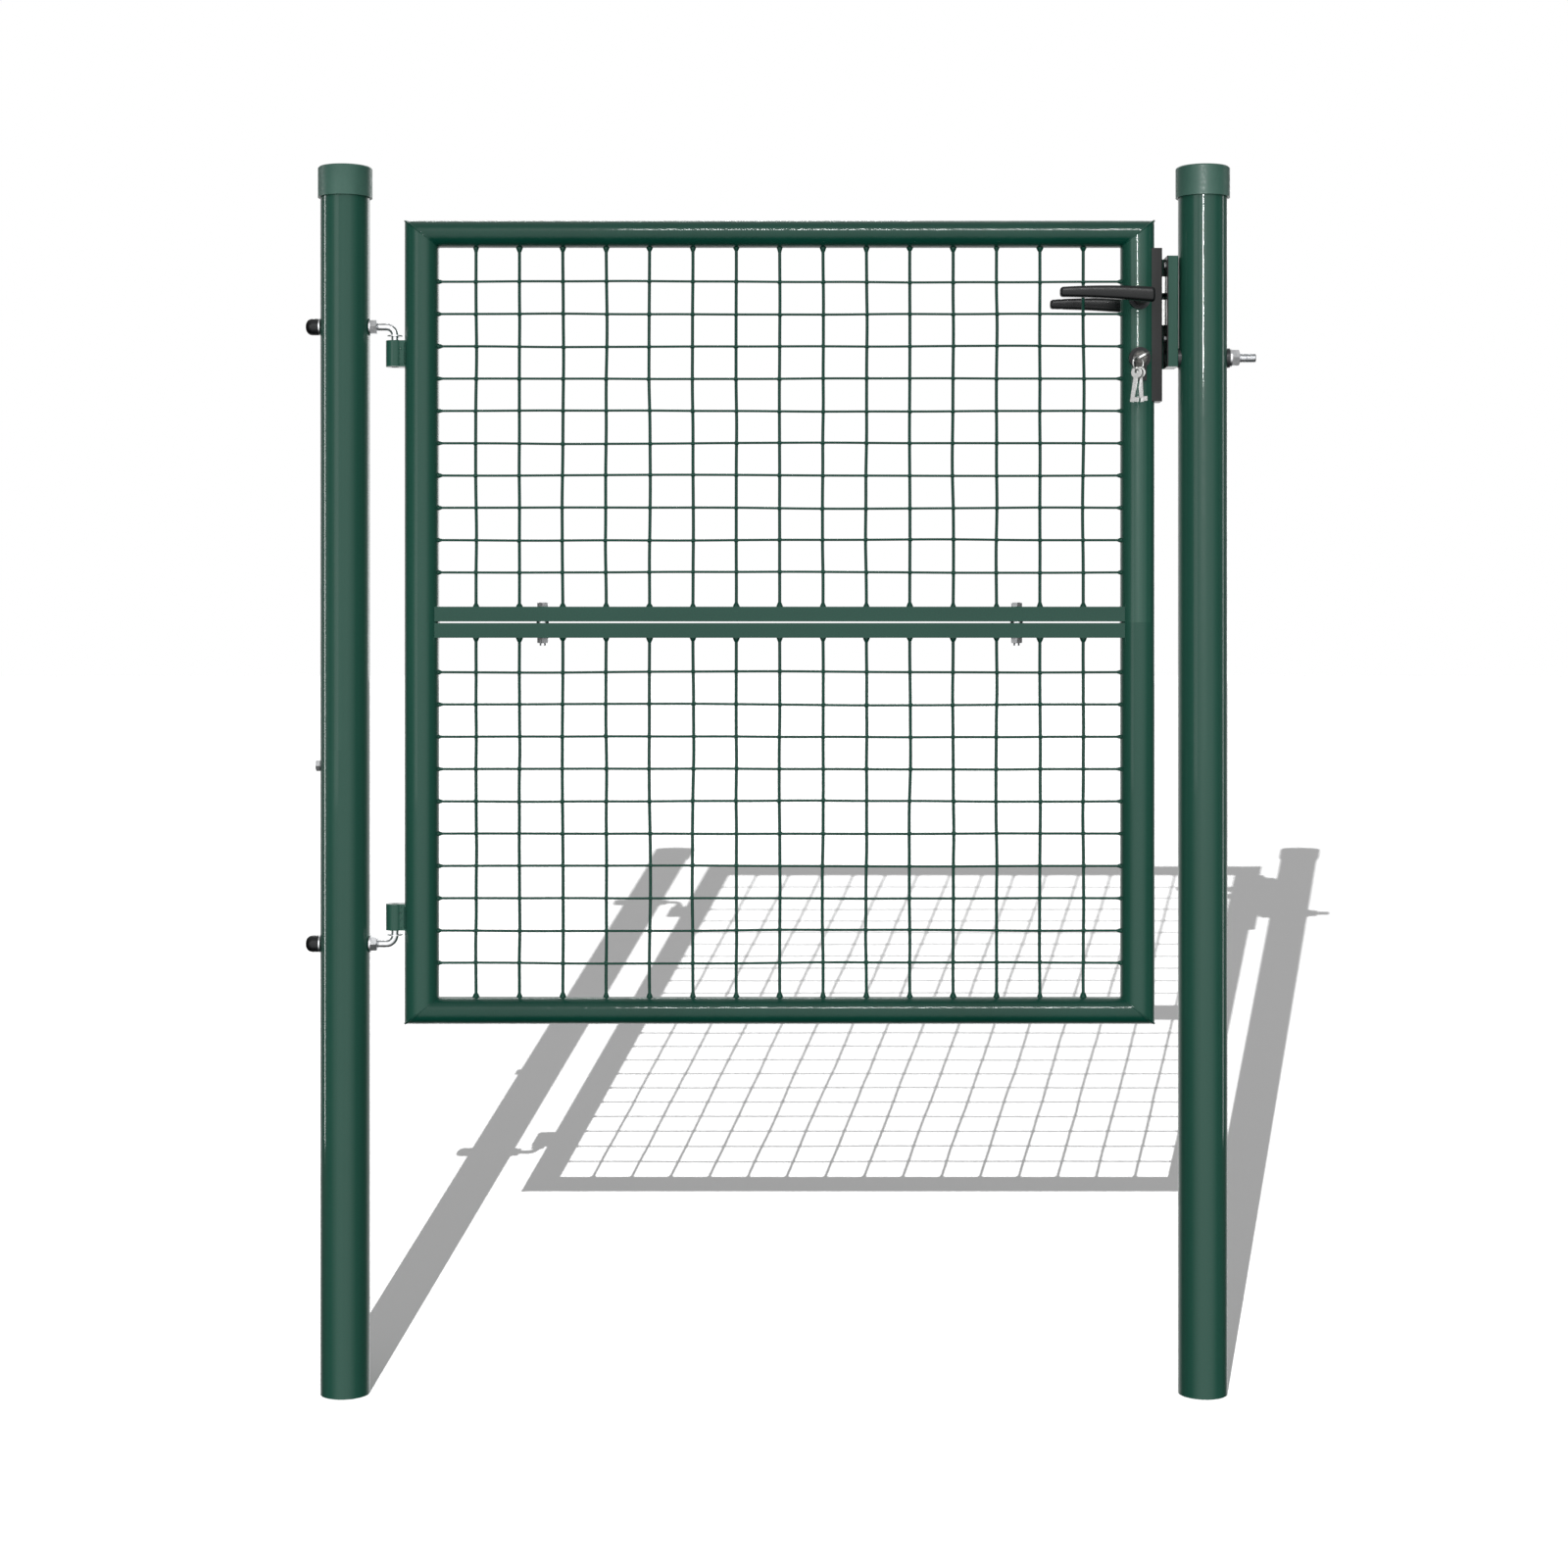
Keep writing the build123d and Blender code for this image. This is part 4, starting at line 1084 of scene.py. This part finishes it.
@dataclass
class Studio:
    """A wide pale floor, an even surround, soft boxes, and the camera."""

    distance: float = 3.24
    eye_height: float = 0.926
    eye_aside: float = 0.004
    lens: float = 60.75
    shift: float = -0.094
    sensor: float = 36.0
    floor_reach: float = 60.0
    floor_rings: int = 12
    floor_sides: int = 96
    floor_tone: Colour = (0.8, 0.8, 0.8)
    shadow_lamp: tuple[float, float, float] = (-0.04, -5.2, 2.44)
    shadow_lamp_radius: float = 0.007
    shadow_glow: float = 42.0
    shallow: float = 0.03
    before_and_behind: tuple[float, ...] = (0.4, 0.98, 0.02, 1.0)
    overhead: tuple[float, ...] = (0.3, 1.0, 0.0, 0.42)
    boxes: tuple[SoftBox, ...] = (
        SoftBox(
            "post strip", (0.0, -4.4, 1.55), (0.08, 1.3), 320.0, ("latch_post", "upper_lock_stile"), True
        ),
        SoftBox(
            "rail strip", (0.55, -3.2, 2.9), (2.0, 0.08), 170.0, ("_rail", "_stile", "frame_welds"), True
        ),
        SoftBox(
            "small parts strip", (0.3, -3.2, 2.2), (1.8, 0.9), 6.0,
            ("bolt", "nut", "washer", "lever", "key")
        ),
        SoftBox(
            "metal fill", (0.0, -3.0, 0.5), (4.4, 2.6), 0.7,
            ("bolt", "nuts", "keeper_nut", "washer", "key")
        ),
        SoftBox("left rim", (-5.0, 0.7, 0.2), (0.5, 3.0), 12.0, ("hinge_post",), True),
        SoftBox("right rim", (5.0, 0.9, 0.2), (0.8, 3.0), 3.0, ("latch_post",), True),
        SoftBox("front box", (-2.6, -3.4, 0.8), (1.4, 2.2), 0.8),
        SoftBox("back box", (1.8, 4.0, 1.2), (1.6, 2.4), 2.2),
        SoftBox("back strip", (-0.8, 3.6, 2.8), (2.4, 0.08), 24.0),
    )

    def camera(self, low: Vector, high: Vector) -> None:
        """Sets up the camera.

        Args:
            low: Lowest corner of the gate.
            high: Highest corner of the gate.
        """
        data = bpy.data.cameras.new("camera")
        data.lens = self.lens
        data.sensor_width = self.sensor
        data.shift_y = self.shift
        camera = bpy.data.objects.new("camera", data)
        camera.location = ((low.x + high.x) / 2 + self.eye_aside, -self.distance, self.eye_height)
        camera.rotation_euler = (math.pi / 2, 0, 0)
        bpy.context.scene.collection.objects.link(camera)
        bpy.context.scene.camera = camera

    def floor(self, low: Vector, high: Vector) -> bpy.types.Object:
        """Lays a wide round floor under the gate.

        Args:
            low: Lowest corner of the gate.
            high: Highest corner of the gate.

        Returns:
            The floor.
        """
        middle = (low + high) / 2
        sides, rings = self.floor_sides, self.floor_rings
        reaches = [self.floor_reach * (i / rings) ** 2 for i in range(1, rings + 1)]
        points = [Vector((middle.x, middle.y, low.z))]
        for reach in reaches:
            turns = [2 * math.pi * k / sides for k in range(sides)]
            points += [
                Vector((middle.x + reach * math.cos(t), reach * math.sin(t), low.z)) for t in turns
            ]
        faces = [(0, 1 + k, 1 + (k + 1) % sides) for k in range(sides)]
        for i in range(len(reaches) - 1):
            for k in range(sides):
                a, b = 1 + i * sides + k, 1 + i * sides + (k + 1) % sides
                faces.append((a, a + sides, b + sides, b))
        mesh = bpy.data.meshes.new("floor")
        mesh.from_pydata(points, [], faces)
        mesh.shade_smooth()
        floor = bpy.data.objects.new("floor", mesh)
        bpy.context.scene.collection.objects.link(floor)
        coat = Coating("pale floor")
        paler = tuple(1.02 * c for c in self.floor_tone)
        coat.colour(coat.blend(coat.noise(3.0, 3.0), self.floor_tone, paler))
        coat.set(Roughness=0.9, Specular_IOR_Level=0.1)
        floor.data.materials.append(coat.material)
        floor.visible_glossy = False
        floor.visible_diffuse = False
        floor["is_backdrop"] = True
        return floor

    def soft_boxes(self, middle: Vector) -> None:
        """Adds the lamps that light the gate and not the floor."""
        for box in self.boxes:
            lit = bpy.data.collections.new(f"lit by {box.name}")
            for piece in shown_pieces():
                if box.lights(piece):
                    lit.objects.link(piece)
            data = bpy.data.lights.new(box.name, "AREA")
            data.shape = "RECTANGLE"
            data.size, data.size_y = box.size
            data.energy = box.power
            lamp = bpy.data.objects.new(box.name, data)
            lamp.location = middle + Vector(box.place)
            lamp.rotation_euler = (-Vector(box.place)).to_track_quat("-Z", "Y").to_euler()
            lamp.light_linking.receiver_collection = lit
            lamp.visible_diffuse = not box.only_gleams
            bpy.context.scene.collection.objects.link(lamp)

    def shadow_light(self, floor: bpy.types.Object) -> None:
        """Adds the lamp that throws the gate's long shadow, as bright on the far floor as near."""
        data = bpy.data.lights.new("shadow lamp", "POINT")
        data.energy = 1.0
        data.shadow_soft_size = self.shadow_lamp_radius
        data.use_nodes = True
        tree = data.node_tree
        place = tree.nodes.new("ShaderNodeTexCoord")
        split = tree.nodes.new("ShaderNodeSeparateXYZ")
        tree.links.new(place.outputs["Normal"], split.inputs["Vector"])
        steep = tree.nodes.new("ShaderNodeMath")
        steep.operation = "ABSOLUTE"
        tree.links.new(split.outputs["Z"], steep.inputs[0])
        held = tree.nodes.new("ShaderNodeMath")
        held.operation = "MAXIMUM"
        held.inputs[1].default_value = self.shallow
        tree.links.new(steep.outputs[0], held.inputs[0])
        even = tree.nodes.new("ShaderNodeMath")
        even.operation = "DIVIDE"
        even.inputs[0].default_value = self.shadow_glow
        tree.links.new(held.outputs[0], even.inputs[1])
        fall = tree.nodes.new("ShaderNodeLightFalloff")
        tree.links.new(even.outputs[0], fall.inputs["Strength"])
        tree.links.new(fall.outputs["Constant"], tree.nodes["Emission"].inputs["Strength"])
        lamp = bpy.data.objects.new("shadow lamp", data)
        lamp.location = self.shadow_lamp
        bpy.context.scene.collection.objects.link(lamp)
        lit = bpy.data.collections.new("lit floor")
        lit.objects.link(floor)
        lamp.light_linking.receiver_collection = lit
        lamp.visible_glossy = False
        lamp.visible_camera = False

    def surround(self) -> None:
        """Sets the surround: white to the eye; as light, bright before and behind, dim aside."""
        world = bpy.data.worlds.new("surround")
        bpy.context.scene.world = world
        world.use_nodes = True
        tree = world.node_tree
        tree.nodes.clear()
        output = tree.nodes.new("ShaderNodeOutputWorld")
        mix = tree.nodes.new("ShaderNodeMixShader")
        path = tree.nodes.new("ShaderNodeLightPath")
        shades = []
        for place in (1, 2):
            shade = tree.nodes.new("ShaderNodeBackground")
            shade.inputs["Color"].default_value = (1, 1, 1, 1)
            tree.links.new(shade.outputs["Background"], mix.inputs[place])
            shades.append(shade)
        split = tree.nodes.new("ShaderNodeSeparateXYZ")
        direction = tree.nodes.new("ShaderNodeTexCoord").outputs["Generated"]
        tree.links.new(direction, split.inputs["Vector"])
        facing = tree.nodes.new("ShaderNodeMath")
        facing.operation = "ABSOLUTE"
        tree.links.new(split.outputs["Y"], facing.inputs[0])
        parts = []
        for source, ends in (
            (facing.outputs[0], self.before_and_behind),
            (split.outputs["Z"], self.overhead),
        ):
            node = tree.nodes.new("ShaderNodeMapRange")
            node.interpolation_type = "SMOOTHSTEP"
            for name, value in zip(("From Min", "From Max", "To Min", "To Max"), ends):
                node.inputs[name].default_value = value
            tree.links.new(source, node.inputs["Value"])
            parts.append(node.outputs["Result"])
        total = tree.nodes.new("ShaderNodeMath")
        total.operation = "ADD"
        for number, part in enumerate(parts):
            tree.links.new(part, total.inputs[number])
        tree.links.new(total.outputs[0], shades[0].inputs["Strength"])
        shades[1].inputs["Strength"].default_value = 1.0
        tree.links.new(path.outputs["Is Camera Ray"], mix.inputs["Fac"])
        tree.links.new(mix.outputs["Shader"], output.inputs["Surface"])

    def build(self, low: Vector, high: Vector) -> None:
        """Sets up camera, floor and lights.

        Args:
            low: Lowest corner of the gate.
            high: Highest corner of the gate.
        """
        self.camera(low, high)
        floor = self.floor(low, high)
        self.surround()
        self.soft_boxes((low + high) / 2)
        self.shadow_light(floor)
        bpy.context.scene.view_settings.view_transform = "Standard"


def build() -> None:
    """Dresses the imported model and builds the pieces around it."""
    low, high = PACKED
    shop = PaintShop()
    shop.dress_packed(frame["nodes"])
    for half, seed in (("upper", 3), ("lower", 4)):
        MeshPanel(half, seed).build(shop)
    for level, way in (("upper", -1), ("lower", 1)):
        HingeBolt(level, way).build(shop)
    KeeperBolt().build(shop)
    LatchSpring().build(shop)
    Lever("front_lever", -1).build(shop)
    Lever("rear_lever", 1, ridges=True).build(shop)
    FrameWelds().build(shop)
    Studio().build(low, high)


def main() -> None:
    """Builds the whole scene."""
    logging.basicConfig(level=logging.INFO, format="%(name)s: %(message)s")
    build()


if __name__ == "__main__":
    main()
